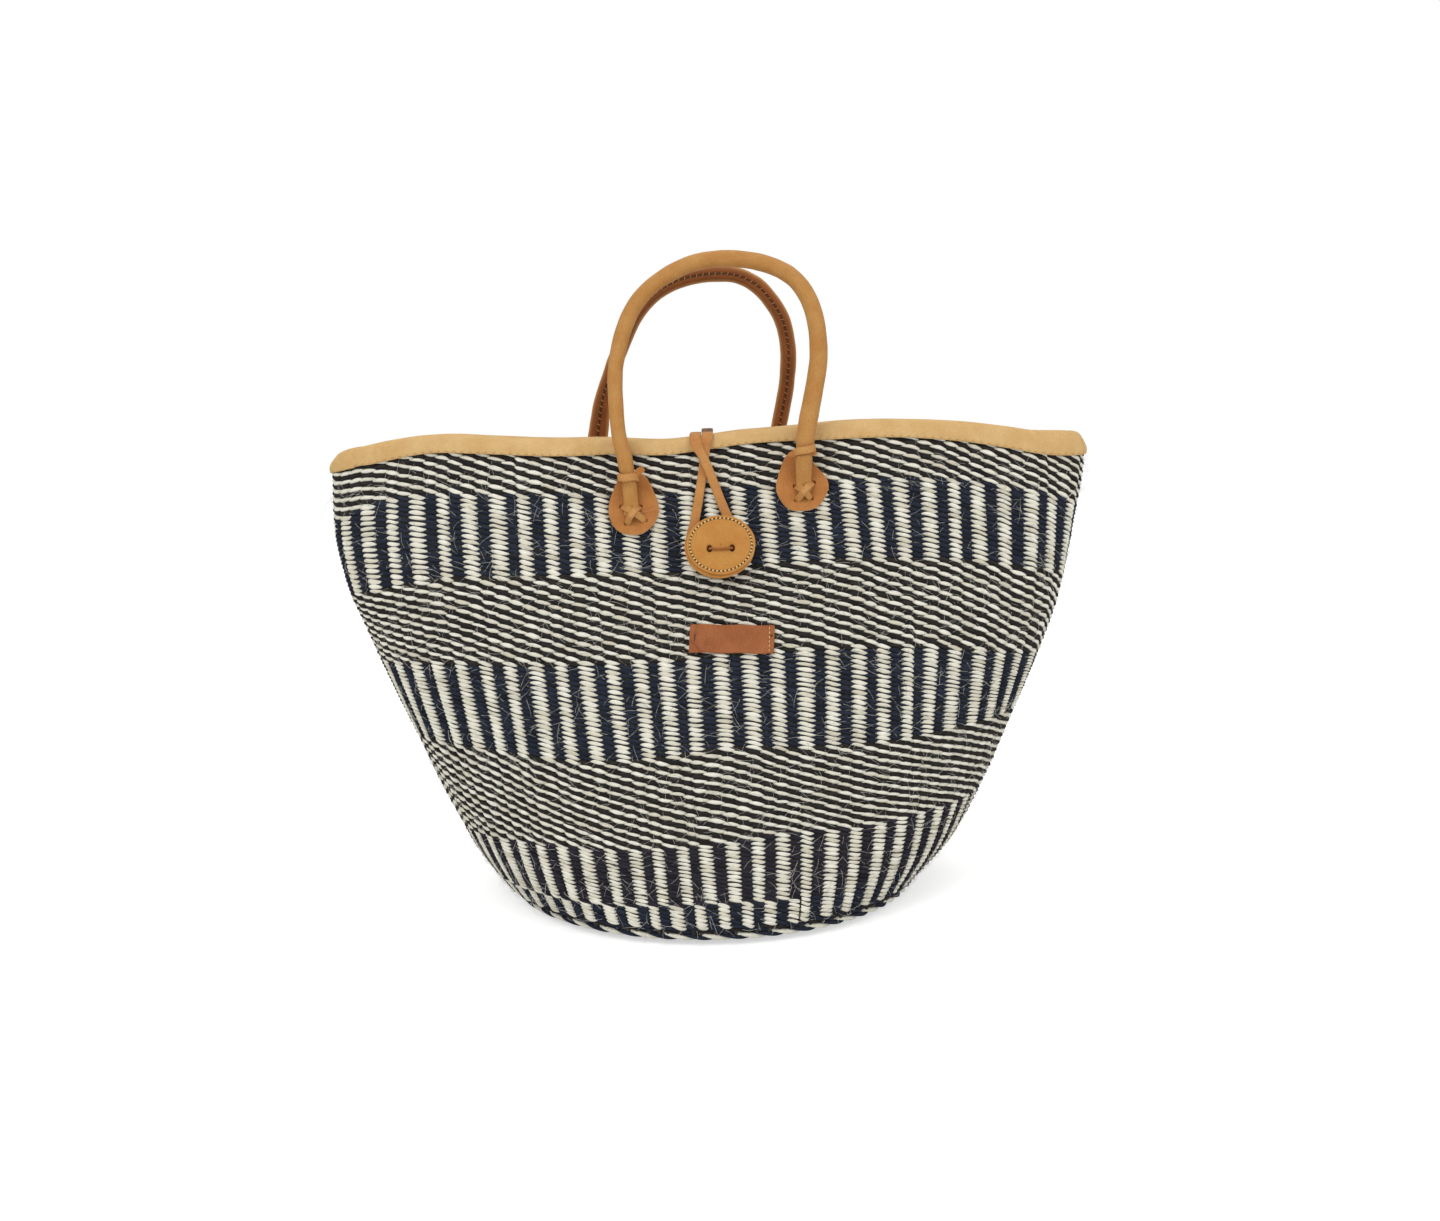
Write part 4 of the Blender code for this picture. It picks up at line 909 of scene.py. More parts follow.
def row_crowding(numbers, turn):
    """Height left for each row at its place, as a share of the height that it would have on a level wall."""
    level = np.interp(numbers + 0.5, row_numbers, row_shares) - np.interp(numbers - 0.5, row_numbers, row_shares)
    height = row_share(numbers + 0.5, turn) - row_share(numbers - 0.5, turn)
    return np.clip(height / np.maximum(level, 0.001), 0.62, 1.3)


def twist_phase(along, reach):
    """Phase of a strand's twist. Its stretch outside the wall is longer than the one inside."""
    middle = 2.0 * np.round(along / 2.0)
    away = along - middle
    near = np.abs(away)
    outside = near / reach / 2
    inside = 0.5 + (near - reach) / (1.0 - reach) / 2
    return middle + np.sign(away) * np.where(near < reach, outside, inside)


def outward_swing(phase):
    """Share of the swing out of the wall: longer at its two ends than a plain wave."""
    wave = np.cos(math.pi * phase)
    return np.sign(wave) * np.abs(wave) ** 0.75


def hidden_share(turn):
    """Share of the height above which the binding hides the strands."""
    across = section.shape(np.ones_like(turn), turn)[..., 0]
    return 1.0 - 0.8 * BINDING_HEIGHT * table_values(BINDING_SHARES, across) / BODY_HEIGHT


def strand_points(rows, odd, rng, moved, fat):
    """Rings of one strand of each row: it swings out over every second warp and in behind the others.

    Moved is None, or whether to keep the places between the warps where the lowest columns are moved.
    """
    steps = np.array(STRAND_STEPS)
    along = ((np.arange(WARPS // 2) * 2.0)[:, None] + steps).ravel()
    along = np.append(along, WARPS + steps[0])
    phase = twist_phase(along, STITCH_REACH)
    place = along + odd
    even_turn = np.broadcast_to(SEAM_TURN + place / WARPS, (len(rows), len(place)))
    numbers = rows[:, None] + (place + 0.5) / WARPS
    share = row_share(numbers, even_turn)
    crowding = row_crowding(numbers, even_turn)
    hidden = hidden_share(even_turn)
    keep = share < hidden
    if moved is not None:
        start, end = BLOCKS_FROM_TO
        keep = keep & (((place >= start) & (place <= end)) == moved)
    share = np.minimum(share, hidden)
    turn = warp_turn(place, share)
    spot, round_way, up_way, out_way = section.axes(share, turn)
    swing = outward_swing(phase)
    slide = np.sin(math.pi * phase)
    weight = np.abs(np.cos(math.pi * phase))
    stitch = np.clip(np.round(along).astype(int), 0, WARPS - 1)
    size = 1.0 + 0.12 * rng.standard_normal((len(rows), WARPS))[:, stitch] * weight
    shift = STITCH_WOBBLE * rng.standard_normal((len(rows), WARPS))[:, stitch] * weight
    lean = (1.0 + 0.25 * rng.standard_normal((len(rows), WARPS))[:, stitch] * weight) * crowding
    tone = np.clip(0.28 + 0.30 * rng.standard_normal((len(rows), WARPS)), 0.0, 1.0)[:, stitch]
    wave = np.sin(even_turn * 37.0 + rows[:, None] * 0.31) + np.sin(even_turn * 83.0 - rows[:, None] * 0.17)
    outward = -WALL / 2 + STRAND_LIFT * swing
    upward = ROW_WOBBLE * wave / 2 + shift - STRAND_SWING * slide * lean
    centre = spot + out_way * (outward * np.ones_like(share))[..., None] + up_way * upward[..., None]
    angles = np.arange(STRAND_SIDES) * 2 * math.pi / STRAND_SIDES
    thin, thick = STRAND_HALF_THICKNESS
    low, high = STRAND_HALF_HEIGHTS
    pitch = table_values(ROW_PITCHES, share)
    through = (thin + (thick - thin) * weight) * np.sqrt(size)
    tall = (low + (high * fat - low) * weight ** 0.85) * size * crowding * pitch
    through = through[..., None] * np.cos(angles)
    return centre, out_way, up_way, through, tall[..., None] * np.sin(angles), tone, keep


def strand_piece(name, sets, look):
    """One mesh of all strands of a colour in a band."""
    parts = [np.concatenate(part) for part in zip(*sets)]
    centre, out_way, up_way, through, tall, tone, keep = parts
    points, quads, corners = swept(centre, out_way, up_way, through, tall)
    shown = np.repeat(keep.reshape(-1), STRAND_SIDES)[quads].all(-1)
    quads, corners = quads[shown], corners[shown]
    used, quads = np.unique(quads, return_inverse=True)
    quads = quads.reshape(-1, 4)
    along = np.interp(corners[..., 1], np.arange(centre.shape[1]), np.linspace(0.0, 0.95, centre.shape[1]))
    uv = np.stack([along + corners[..., 0] * 1.37, corners[..., 2] * 0.0014], -1)
    maps = {"OFBake": bake_map(corners, len(STRAND_STEPS), STRAND_SIDES), "Strand": uv}
    values = {"tone": np.repeat(tone.reshape(-1), STRAND_SIDES)[used]}
    piece = quad_piece(name, points[used], quads, look, maps, values)
    return piece


def make_wall():
    """Rows of two strands. In lines the colours change places in each row, in columns they don't."""
    rng = np.random.default_rng(SEED)
    for index, (start, end, pattern, dark) in enumerate(band_rows()):
        groups = {"cream": [], dark: []}
        fatness = {"cream": 1.0, dark: DARK_STRAND_SHARE}
        rows = np.arange(start, end)
        for odd in (0, 1):
            if pattern == "blocks":
                for colour, moved in (("cream", odd == 1), (dark, odd == 0)):
                    groups[colour].append(strand_points(rows.astype(float), odd, rng, moved, fatness[colour]))
                continue
            odd_cream = rows % 2 == 1 if pattern == "lines" else rows < 0
            for colour, chosen in (("cream", odd_cream == (odd == 1)), (dark, odd_cream != (odd == 1))):
                if chosen.any():
                    strand = strand_points(rows[chosen].astype(float), odd, rng, None, fatness[colour])
                    groups[colour].append(strand)
        for colour, sets in groups.items():
            piece = strand_piece("weave_%d_%s" % (index + 1, colour), sets, looks[colour])
            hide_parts("woven_body")
            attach(piece, "basket")


def inner_top(turn):
    """Share of the height where the cords and fibres inside the wall end."""
    _, corner = binding_shape(turn)
    return INNER_TOP_SHARE - INNER_DROP_SHARE * corner


def make_warps():
    """Cords that the strands are twined round."""
    upper = np.linspace(FIRST_ROW_SHARE, INNER_TOP_SHARE, 44)
    shares = np.concatenate([np.linspace(0.0, FIRST_ROW_SHARE, 6), upper[1:]])
    share, place = np.meshgrid(shares, np.arange(WARPS) * 1.0)
    turn = warp_turn(place, share)
    share = np.minimum(share, inner_top(turn))
    spot, round_way, _, out_way = section.axes(share, turn)
    angles = np.arange(5) * 2 * math.pi / 5
    first = np.broadcast_to(0.0010 * np.cos(angles), (*share.shape, 5))
    second = np.broadcast_to(0.0013 * np.sin(angles), (*share.shape, 5))
    points, quads, corners = swept(spot - out_way * WALL / 2, out_way, round_way, first, second)
    uv = np.stack([corners[..., 1] * 0.007, corners[..., 2] * 0.0015 + corners[..., 0] * 0.01], -1)
    piece = quad_piece("warps", points, quads, looks["warp"], {"Surface": uv})
    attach(piece, "basket")


def make_core():
    """Dark sheet between the inner and outer stitches, which closes the wall and the base; its dark colour is painted
    shade seen through the gaps between the stitches.
    """
    shares = np.linspace(0.0, INNER_TOP_SHARE, 90)
    turns = np.arange(232) / 232.0
    rows = []
    for grow in (-(WALL - CORE_THICKNESS) / 2, -(WALL + CORE_THICKNESS) / 2):
        share, turn = np.meshgrid(shares, turns, indexing="ij")
        share = np.minimum(share, inner_top(turn))
        wall = section.points(share, turn, grow, FLOOR / 2)
        wall[:, :, 2] = np.maximum(wall[:, :, 2] - FLOOR / 2 * np.clip(share * 4, 0, 1), -grow)
        rows.append(wall)
    outer, inner = rows
    floor_steps = (0.95, 0.6, 0.25, 0.01)
    middle = [outer[0] * np.array((step, step, 0.0)) for step in floor_steps]
    low = [ring + np.array((0.0, 0.0, FLOOR / 2 - CORE_THICKNESS / 2)) for ring in middle]
    high = [ring + np.array((0.0, 0.0, FLOOR / 2 + CORE_THICKNESS / 2)) for ring in middle]
    rings = np.array([*high[::-1], *inner, *outer[::-1], *low])
    quads, corners = ring_quads(1, len(rings), 232)
    uv = np.stack([corners[..., 1] * 0.003, corners[..., 2] * 0.004], -1)
    piece = quad_piece("wall_core", rings.reshape(-1, 3), quads, looks["core"], {"Surface": uv})
    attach(piece, "basket")


def make_edge_rope():
    """Thick two-strand twist round the turn to the base, above it a thin dark row."""
    steps = np.array((-0.78, -0.68, -0.54, -0.36, -0.18, 0.0, 0.18, 0.36, 0.54, 0.68, 0.78, 0.88, 1.0, 1.12))
    along = ((np.arange(EDGE_WARPS // 2) * 2.0)[:, None] + steps).ravel()
    phase = twist_phase(along, EDGE_REACH)
    angles = np.arange(8) * 2 * math.pi / 8
    sizes = (("cream", 0, EDGE_SHARE, 1.0), ("navy", 1, EDGE_SHARE, 1.0),
             ("dark_row_navy", 0, 0.0345, 0.62), ("dark_row_black", 1, 0.0345, 0.62))
    for name, odd, share, size in sizes:
        turn = SEAM_TURN + (along + odd) / EDGE_WARPS
        spot, round_way, up_way, out_way = section.axes(np.full(len(turn), share), turn)
        swing = outward_swing(phase)
        slide = np.sin(math.pi * phase)
        weight = np.abs(np.cos(math.pi * phase)) ** 0.7
        centre = spot + out_way * (-0.0024 + EDGE_LIFT * size * swing)[:, None]
        centre = centre - up_way * (EDGE_SWING * size * slide)[:, None]
        through = (EDGE_HALF_THICKNESS[0] + (EDGE_HALF_THICKNESS[1] - EDGE_HALF_THICKNESS[0]) * weight) * size
        tall = (EDGE_HALF_HEIGHT[0] + (EDGE_HALF_HEIGHT[1] - EDGE_HALF_HEIGHT[0]) * weight) * size
        centre[:, 2] = np.maximum(centre[:, 2], tall + 0.0001)
        points, quads, corners = swept(centre[None], out_way[None], up_way[None],
                                       (through[:, None] * np.cos(angles))[None],
                                       (tall[:, None] * np.sin(angles))[None], True)
        uv = np.stack([corners[..., 1] * 0.0018, corners[..., 2] * 0.0014], -1)
        maps = {"OFBake": bake_map(corners, 14, 8), "Strand": uv}
        look = looks["cream" if name == "cream" else "black" if name.endswith("black") else "navy"]
        piece = quad_piece("edge_rope_" + name, points, quads, look, maps, {"tone": np.full(len(points), 0.25)})
        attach(piece, "basket")


def make_base():
    """Twined rings of the base, with fewer stitches towards the middle."""
    rng = np.random.default_rng(SEED + 1)
    across, along_depth = half_width(0.0), half_depth(0.0)
    count = int(across * 0.965 / BASE_PITCH)
    groups = {"cream": [[], [], [], [], [], []], "black": [[], [], [], [], [], []]}
    angles = np.arange(STRAND_SIDES) * 2 * math.pi / STRAND_SIDES
    steps = np.array(STRAND_STEPS)
    for ring in range(count):
        share = (ring + 0.6) / count * 0.965
        stitches = max(6, 2 * int(round(math.pi * (across + along_depth) * share / BASE_STITCH / 2)))
        along = ((np.arange(stitches // 2) * 2.0)[:, None] + steps).ravel()
        for odd in (0, 1):
            turn = (along + odd + ring * 0.37) / stitches * 2 * math.pi
            out_way = np.tile((0.0, 0.0, -1.0), (len(turn), 1))
            up_way = unit(np.stack([-np.cos(turn), -np.sin(turn), np.zeros(len(turn))], -1))
            spot = np.stack([across * share * np.cos(turn), along_depth * share * np.sin(turn),
                             np.full(len(turn), FLOOR / 2)], -1)
            phase = twist_phase(along, STITCH_REACH)
            swing = np.cos(math.pi * phase)
            weight = np.abs(swing)
            centre = spot + out_way * (0.0012 * swing)[:, None]
            centre = centre - up_way * (STRAND_SWING * np.sin(math.pi * phase))[:, None]
            size = min(1.0, 0.4 + share * 3)
            through = ((0.0008 + 0.0004 * weight) * size)[:, None] * np.cos(angles)
            tall = (0.0006 + 0.0010 * weight)[:, None] * np.sin(angles)
            dark = (odd + ring) % 2 == 1 and 0.3 < share < 0.9
            group = groups["black" if dark else "cream"]
            tone = np.clip(0.25 + 0.25 * rng.standard_normal(len(turn)), 0.0, 1.0)
            for store, part in zip(group, (centre, out_way, up_way, through, tall, tone)):
                store.append(part)
    for colour, group in groups.items():
        points, quads, corners, tones, start, tube = [], [], [], [], 0, 0
        for centre, out_way, up_way, through, tall, tone in zip(*group):
            ring_points, ring_faces, ring_corners = swept(centre[None], out_way[None], up_way[None],
                                                          through[None], tall[None], True)
            ring_corners[..., 0] = tube
            points.append(ring_points)
            quads.append(ring_faces + start)
            corners.append(ring_corners)
            tones.append(np.repeat(tone, STRAND_SIDES))
            start += len(ring_points)
            tube += 1
        corners = np.concatenate(corners)
        uv = np.stack([corners[..., 1] * 0.0015 + corners[..., 0] * 1.37, corners[..., 2] * 0.0014], -1)
        maps = {"OFBake": bake_map(corners, len(STRAND_STEPS), STRAND_SIDES), "Strand": uv}
        piece = quad_piece("base_" + colour, np.concatenate(points), np.concatenate(quads), looks[colour],
                           maps, {"tone": np.concatenate(tones)})
        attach(piece, "basket")


def hair_piece(name, count, look, rng, lift, length, radius):
    """Loose fibre ends that lie on the weave or stand off it."""
    steps = np.linspace(0.0, 1.0, 7)
    share = rng.uniform(0.03, 0.94, count)
    turn = rng.uniform(0.0, 1.0, count)
    spot, round_way, up_way, out_way = section.axes(share, turn)
    heading = rng.normal(0.0, 0.9, count) + np.where(rng.random(count) < 0.5, 0.0, math.pi)
    way = round_way * np.cos(heading)[:, None] + up_way * np.sin(heading)[:, None]
    side = np.cross(out_way, way)
    reach = rng.uniform(*length, count)
    bend = rng.normal(0.0, 0.35, count) * reach
    height = rng.uniform(*lift, count)
    sway = rng.uniform(0.0, 2 * math.pi, count)
    centre = spot[:, None] + way[:, None] * (steps * reach[:, None])[..., None]
    centre = centre + side[:, None] * (bend[:, None] * steps ** 2)[..., None]
    rise = height[:, None] * np.sin(steps * math.pi * 0.75) - 0.0008 * (1.0 - steps) ** 3
    rise = rise + 0.0004 * np.sin(steps * 9.0 + sway[:, None]) * steps
    centre = centre + out_way[:, None] * rise[..., None]
    centre[..., 2] = np.maximum(centre[..., 2], 0.0006)
    angles = np.arange(3) * 2 * math.pi / 3
    size = radius * (1.0 - 0.6 * steps)
    first = np.broadcast_to(size[:, None] * np.cos(angles), (count, 7, 3))
    second = np.broadcast_to(size[:, None] * np.sin(angles), (count, 7, 3))
    out = np.repeat(out_way[:, None], 7, 1)
    across = np.repeat(side[:, None], 7, 1)
    points, quads, corners = swept(centre, out, across, first, second)
    uv = np.stack([corners[..., 1] * 0.002 + corners[..., 0] * 0.011, corners[..., 2] * 0.0002], -1)
    piece = quad_piece(name, points, quads, look, {"Surface": uv})
    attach(piece, "basket")


def make_hairs():
    rng = np.random.default_rng(SEED + 2)
    hair_piece("loose_fibres_lying", 5200, looks["hair"], rng, (0.0004, 0.0012), (0.003, 0.013), 0.00011)
    hair_piece("loose_fibres_standing", 800, looks["hair"], rng, (0.001, 0.0045), (0.005, 0.014), 0.00009)
    hair_piece("loose_fibres_dark", 900, looks["dark_hair"], rng, (0.0004, 0.003), (0.004, 0.012), 0.00009)


# Rim

def binding_profile():
    """Ways out from the wall's outer face and up from its top, round the folded leather."""
    outer = SEAT_GAP + BINDING_LEATHER
    inner = -WALL - SEAT_GAP - BINDING_LEATHER
    middle = (outer + inner) / 2
    half = (outer - inner) / 2
    top = BINDING_TOP + SEAT_GAP
    points = [(SEAT_GAP, -BINDING_HEIGHT + 0.0003), (SEAT_GAP + BINDING_LEATHER / 2, -BINDING_HEIGHT)]
    for rise in np.linspace(-BINDING_HEIGHT + 0.0004, -0.0018, 9):
        points.append((outer, rise))
    for angle in np.linspace(0.0, math.pi, 11)[1:-1]:
        points.append((middle + half * math.cos(angle), -0.0016 + (top + 0.0016) * math.sin(angle) ** 0.8))
    for rise in np.linspace(-0.0018, -BINDING_HEIGHT + 0.0004, 6):
        points.append((inner, rise))
    points += [(inner + BINDING_LEATHER / 2, -BINDING_HEIGHT), (-WALL - SEAT_GAP, -BINDING_HEIGHT + 0.0003),
               (-WALL - SEAT_GAP, -0.0010), (SEAT_GAP, -0.0010)]
    return np.array(points)


def binding_shape(turns):
    """Height of the binding as a share of its usual one, and how far into its rounded ends each place is."""
    across = section.shape(np.ones_like(turns), turns)[..., 0]
    start = np.where(across < 0.0, CORNER_START_SHARES[0], CORNER_START_SHARES[1])
    corner = np.clip((np.abs(across) - start) / (1.0 - start), 0.0, 1.0) ** 2
    return table_values(BINDING_SHARES, across), corner


def binding_points(turns, profile, puff):
    """Rings of the binding at turns round the mouth, with soft unevenness and stitch puckers."""
    out = np.broadcast_to(profile[:, 0], (len(turns), len(profile))).copy()
    stretch, corner = binding_shape(turns)
    up = np.where(profile[:, 1] < 0.0, profile[:, 1] * stretch[:, None], profile[:, 1])
    low_edge = BINDING_HEIGHT * stretch[:, None]
    facing = np.where(profile[:, 0] > 0, 1.0, -1.0) * (np.abs(profile[:, 0] + WALL / 2) > WALL / 2 + SEAT_GAP * 1.5)
    phase = np.abs((turns * RIM_STITCHES + 0.5) % 1.0 - 0.5) / RIM_STITCHES * 0.95
    near = np.exp(-(phase / PUCKER_WIDTH) ** 2)[:, None]
    low = np.exp(-((up + low_edge - RIM_STITCH_RISE) / PUCKER_HEIGHT) ** 2)
    slow = puff[:, None] * np.sin(np.clip(-up / low_edge, 0.0, 1.0) * math.pi)
    out += facing * (slow * PUFF - PUCKER * near * low)
    depth = np.clip(-up / low_edge, 0.0, 1.0)
    in_all, at_top, at_edge = CORNER_PULLS
    pull = in_all + at_top * (1.0 - depth) ** 3 + at_edge * depth ** 3
    out -= pull * corner[:, None]
    share = 1.0 + np.minimum(up, 0.0) / BODY_HEIGHT
    lift = np.maximum(up, 0.0) - CORNER_DROP * corner[:, None] * (1.0 - depth)
    turn = np.broadcast_to(turns[:, None], out.shape)
    return section.points(share, turn, out, lift)


def make_binding():
    turns = np.arange(RIM_STEPS) / RIM_STEPS
    ring = np.stack([np.cos(turns * 2 * math.pi) * 6, np.sin(turns * 2 * math.pi) * 6, turns * 0], -1)
    puff = 0.6 + 0.8 * bumps(ring, 0.5) + 0.5 * bumps(ring, 0.16, 7.0)
    profile = binding_profile()
    points = binding_points(turns, profile, puff)
    quads, corners = ring_quads(1, RIM_STEPS, len(profile), True)
    around = np.concatenate([[0.0], np.cumsum(np.linalg.norm(np.diff(profile, axis=0), axis=-1))])
    around = np.append(around, around[-1] + BINDING_LEATHER)
    uv = np.stack([corners[..., 1] * (0.97 / RIM_STEPS), around[corners[..., 2]]], -1)
    cut = np.zeros(points.shape[:2])
    cut[:, :2] = 1.0
    piece = quad_piece("rim_leather", points.reshape(-1, 3), quads, looks["pale"], {"Surface": uv},
                       {"cut": cut, "dark": np.zeros_like(cut)})
    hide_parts("rim_binding")
    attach(piece, "basket")


def make_binding_overlap():
    """Second layer where the two ends of the binding lie over each other, near the left end."""
    turns = np.linspace(0.762, 0.778, 20)
    profile = binding_profile()[1:-3]
    middle = np.array((-WALL / 2, -BINDING_HEIGHT / 2))
    profile = profile + unit(profile - middle) * 0.0005
    for end in (0, -1):
        profile[end, 1] -= 0.0002
    points = binding_points(turns, profile, np.full(len(turns), 0.6))
    fall = np.abs(np.linspace(-1.0, 1.0, len(turns))) ** 12 * 0.0005
    inward = unit(np.array((0.0, 0.0, BODY_HEIGHT)) - points)
    points = points + inward * fall[:, None, None]
    quads, corners = ring_quads(1, len(turns), len(profile))
    quads = quads[corners[:, 0, 2] < len(profile) - 1]
    corners = corners[corners[:, 0, 2] < len(profile) - 1]
    uv = np.stack([corners[..., 1] * 0.0008 + 0.3, corners[..., 2] * 0.0012], -1)
    cut = np.zeros(points.shape[:2])
    cut[[0, -1]] = 0.8
    piece = quad_piece("rim_leather_overlap", points.reshape(-1, 3), quads, looks["pale"], {"Surface": uv},
                       {"cut": cut, "dark": cut * 0.0})
    thick = piece.modifiers.new("thickness", "SOLIDIFY")
    thick.thickness = 0.0006
    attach(piece, "basket")


def make_rim_stitches():
    turns = np.arange(RIM_STITCHES) / RIM_STITCHES
    stretch, corner = binding_shape(turns)
    share = 1.0 - (BINDING_HEIGHT * stretch - RIM_STITCH_RISE) / BODY_HEIGHT
    _, round_way, _, out_way = section.axes(share, turns)
    pull = (CORNER_PULLS[0] + CORNER_PULLS[2]) * corner
    outer = section.points(share, turns, SEAT_GAP + BINDING_LEATHER - 0.0002 - pull)
    piece = stitch_piece("rim_stitches", outer, round_way, out_way, RIM_STITCH_LENGTH, RIM_STITCH_RADIUS,
                         looks["rim_thread"])
    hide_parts("rim_stitching")
    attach(piece, "basket")
    inner = section.points(share, turns, -WALL - SEAT_GAP - BINDING_LEATHER + 0.0002)
    piece = stitch_piece("rim_stitches_inside", inner, round_way, -out_way, RIM_STITCH_LENGTH,
                         RIM_STITCH_RADIUS, looks["rim_thread"])
    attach(piece, "basket")


# Handles

class Handle:
    """One handle's hinge line, the plane it stands in and its two leg ends."""

    def __init__(self, name, side, hinge, arch, sways, leans, widths):
        self.name = name
        self.side = side
        self.arch = arch
        self.sways = {-1: sways[0], 1: sways[1]}
        self.leans = {-1: leans[0], 1: leans[1]}
        self.widths = widths
        self.middle_x, self.middle_z, self.half_span, self.tilt = hinge
        self.depth = max(self.leg_depth(-1), self.leg_depth(1))
        self.along = np.array((math.cos(self.tilt), 0.0, math.sin(self.tilt)))
        self.up = unit(np.array((-math.sin(self.tilt), side * math.tan(HANDLE_LEAN), math.cos(self.tilt))))
        self.out = unit(np.cross(self.along, self.up)) * side
        self.middle = np.array((self.middle_x, -side * self.depth, self.middle_z))

    def leg_x(self, hand):
        return self.middle_x + hand * self.half_span * math.cos(self.tilt)

    def leg_z(self, hand):
        return self.middle_z + hand * self.half_span * math.sin(self.tilt)

    def leg_depth(self, hand):
        reach = COLLAR_DROP + COLLAR_HEIGHT
        matrix = wall_frame(self.leg_x(hand), self.leg_z(hand) - reach, self.side)
        stack = SEAT_GAP + PATCH_LEATHER + GAP + COLLAR_LEATHER + GAP + HANDLE_RADIUS
        slant = abs(matrix.to_3x3().col[2].y)
        return abs(matrix.translation.y) + stack / slant - reach * math.tan(HANDLE_LEAN)

    def leg_end(self, hand, rise=0.0):
        """Middle of a leg's tube, so far above the hinge line."""
        beside = hand * self.half_span + self.sways[hand] + self.leans[hand] * rise
        return self.middle + self.along * beside + self.up * rise

    def site(self, hand):
        """Wall frame of a leg end, its wall depth, and the place of its middle."""
        x = self.leg_x(hand)
        z = self.leg_z(hand) - LEG_DROP
        matrix = wall_frame(x, z, self.side)
        return matrix, wall_depth_here(matrix, x, z, self.side)

    def arch_route(self):
        rises = (HINGE_GAP / 2, HINGE_GAP / 2 + END_RUN)
        points = [self.leg_end(-1, rise) for rise in rises]
        for across, rise in self.arch:
            across, rise = across * ARCH_HALF_WIDTH, rise * ARCH_RISE
            above = rise * math.cos(self.tilt) - across * math.sin(self.tilt)
            depth = self.depth - above * math.tan(HANDLE_LEAN)
            points.append(np.array((self.middle_x + across, -self.side * depth, self.middle_z + rise)))
        points += [self.leg_end(1, rise) for rise in rises[::-1]]
        return smooth_route(points, HANDLE_STEPS)

    def leg_route(self, hand):
        """Middle line from the hinge down under the lace, with half widths and half thicknesses."""
        matrix, _ = self.site(hand)
        flat = SEAT_GAP + PATCH_LEATHER + GAP + TONGUE_THICKNESS / 2
        top = self.leg_end(hand, -HINGE_GAP / 2)
        low = self.leg_end(hand, -COLLAR_DROP - COLLAR_HEIGHT)
        bend = self.leg_end(hand, -HINGE_GAP / 2 - TONGUE_STRAIGHT)
        beside = TONGUE_SHIFTS[self.name, hand]
        shoulder = np.array(matrix @ Vector((beside, TONGUE_SHOULDER, flat + TONGUE_RISE)))
        tip = np.array(matrix @ Vector((beside, -TONGUE_TIP_DROP, flat)))
        upper = smooth_route([top, low], 5)[:-1]
        lower = smooth_route([low, bend, shoulder, tip], TONGUE_STEPS)[1:]
        route = np.concatenate([upper, lower])
        share = np.clip((np.arange(len(route)) - len(upper)) / (len(route) - 1 - len(upper)), 0.0, 1.0)
        wide = HANDLE_RADIUS + (TONGUE_HALF_WIDTH - HANDLE_RADIUS) * ease(share * 1.6)
        thick = HANDLE_RADIUS + (TONGUE_THICKNESS / 2 - HANDLE_RADIUS) * ease(share * 1.35)
        squeeze = 0.0007 * np.exp(-((np.arange(len(route)) - len(upper) + 1.5) / 2.2) ** 2)
        end = np.clip((1.0 - share) / 0.09, 0.12, 1.0)
        return route, (wide - squeeze) * np.sqrt(end), (thick - squeeze) * np.sqrt(end)


handles = (
    Handle("front", FRONT, FRONT_HINGE, FRONT_ARCH_SHARES, FRONT_LEG_SWAYS, FRONT_LEG_LEANS,
           FRONT_WIDTH_SHARES),
    Handle("back", BACK, BACK_HINGE, BACK_ARCH_SHARES, BACK_LEG_SWAYS, BACK_LEG_LEANS, BACK_WIDTH_SHARES),
)


def handle_line(handle):
    """Whole middle line of a handle from one lace to the other, with its half sizes."""
    left, left_wide, left_thick = handle.leg_route(-1)
    right, right_wide, right_thick = handle.leg_route(1)
    arch = handle.arch_route()
    route = np.concatenate([left[::-1], arch, right])
    plain = np.full(len(arch), HANDLE_RADIUS)
    distance = lengths(route)
    size = table_values(handle.widths, distance / distance[-1])
    wide = np.concatenate([left_wide[::-1], plain, right_wide]) * size
    thick = np.concatenate([left_thick[::-1], plain, right_thick]) * np.minimum(size, 1.0)
    return route, wide, thick, len(left)


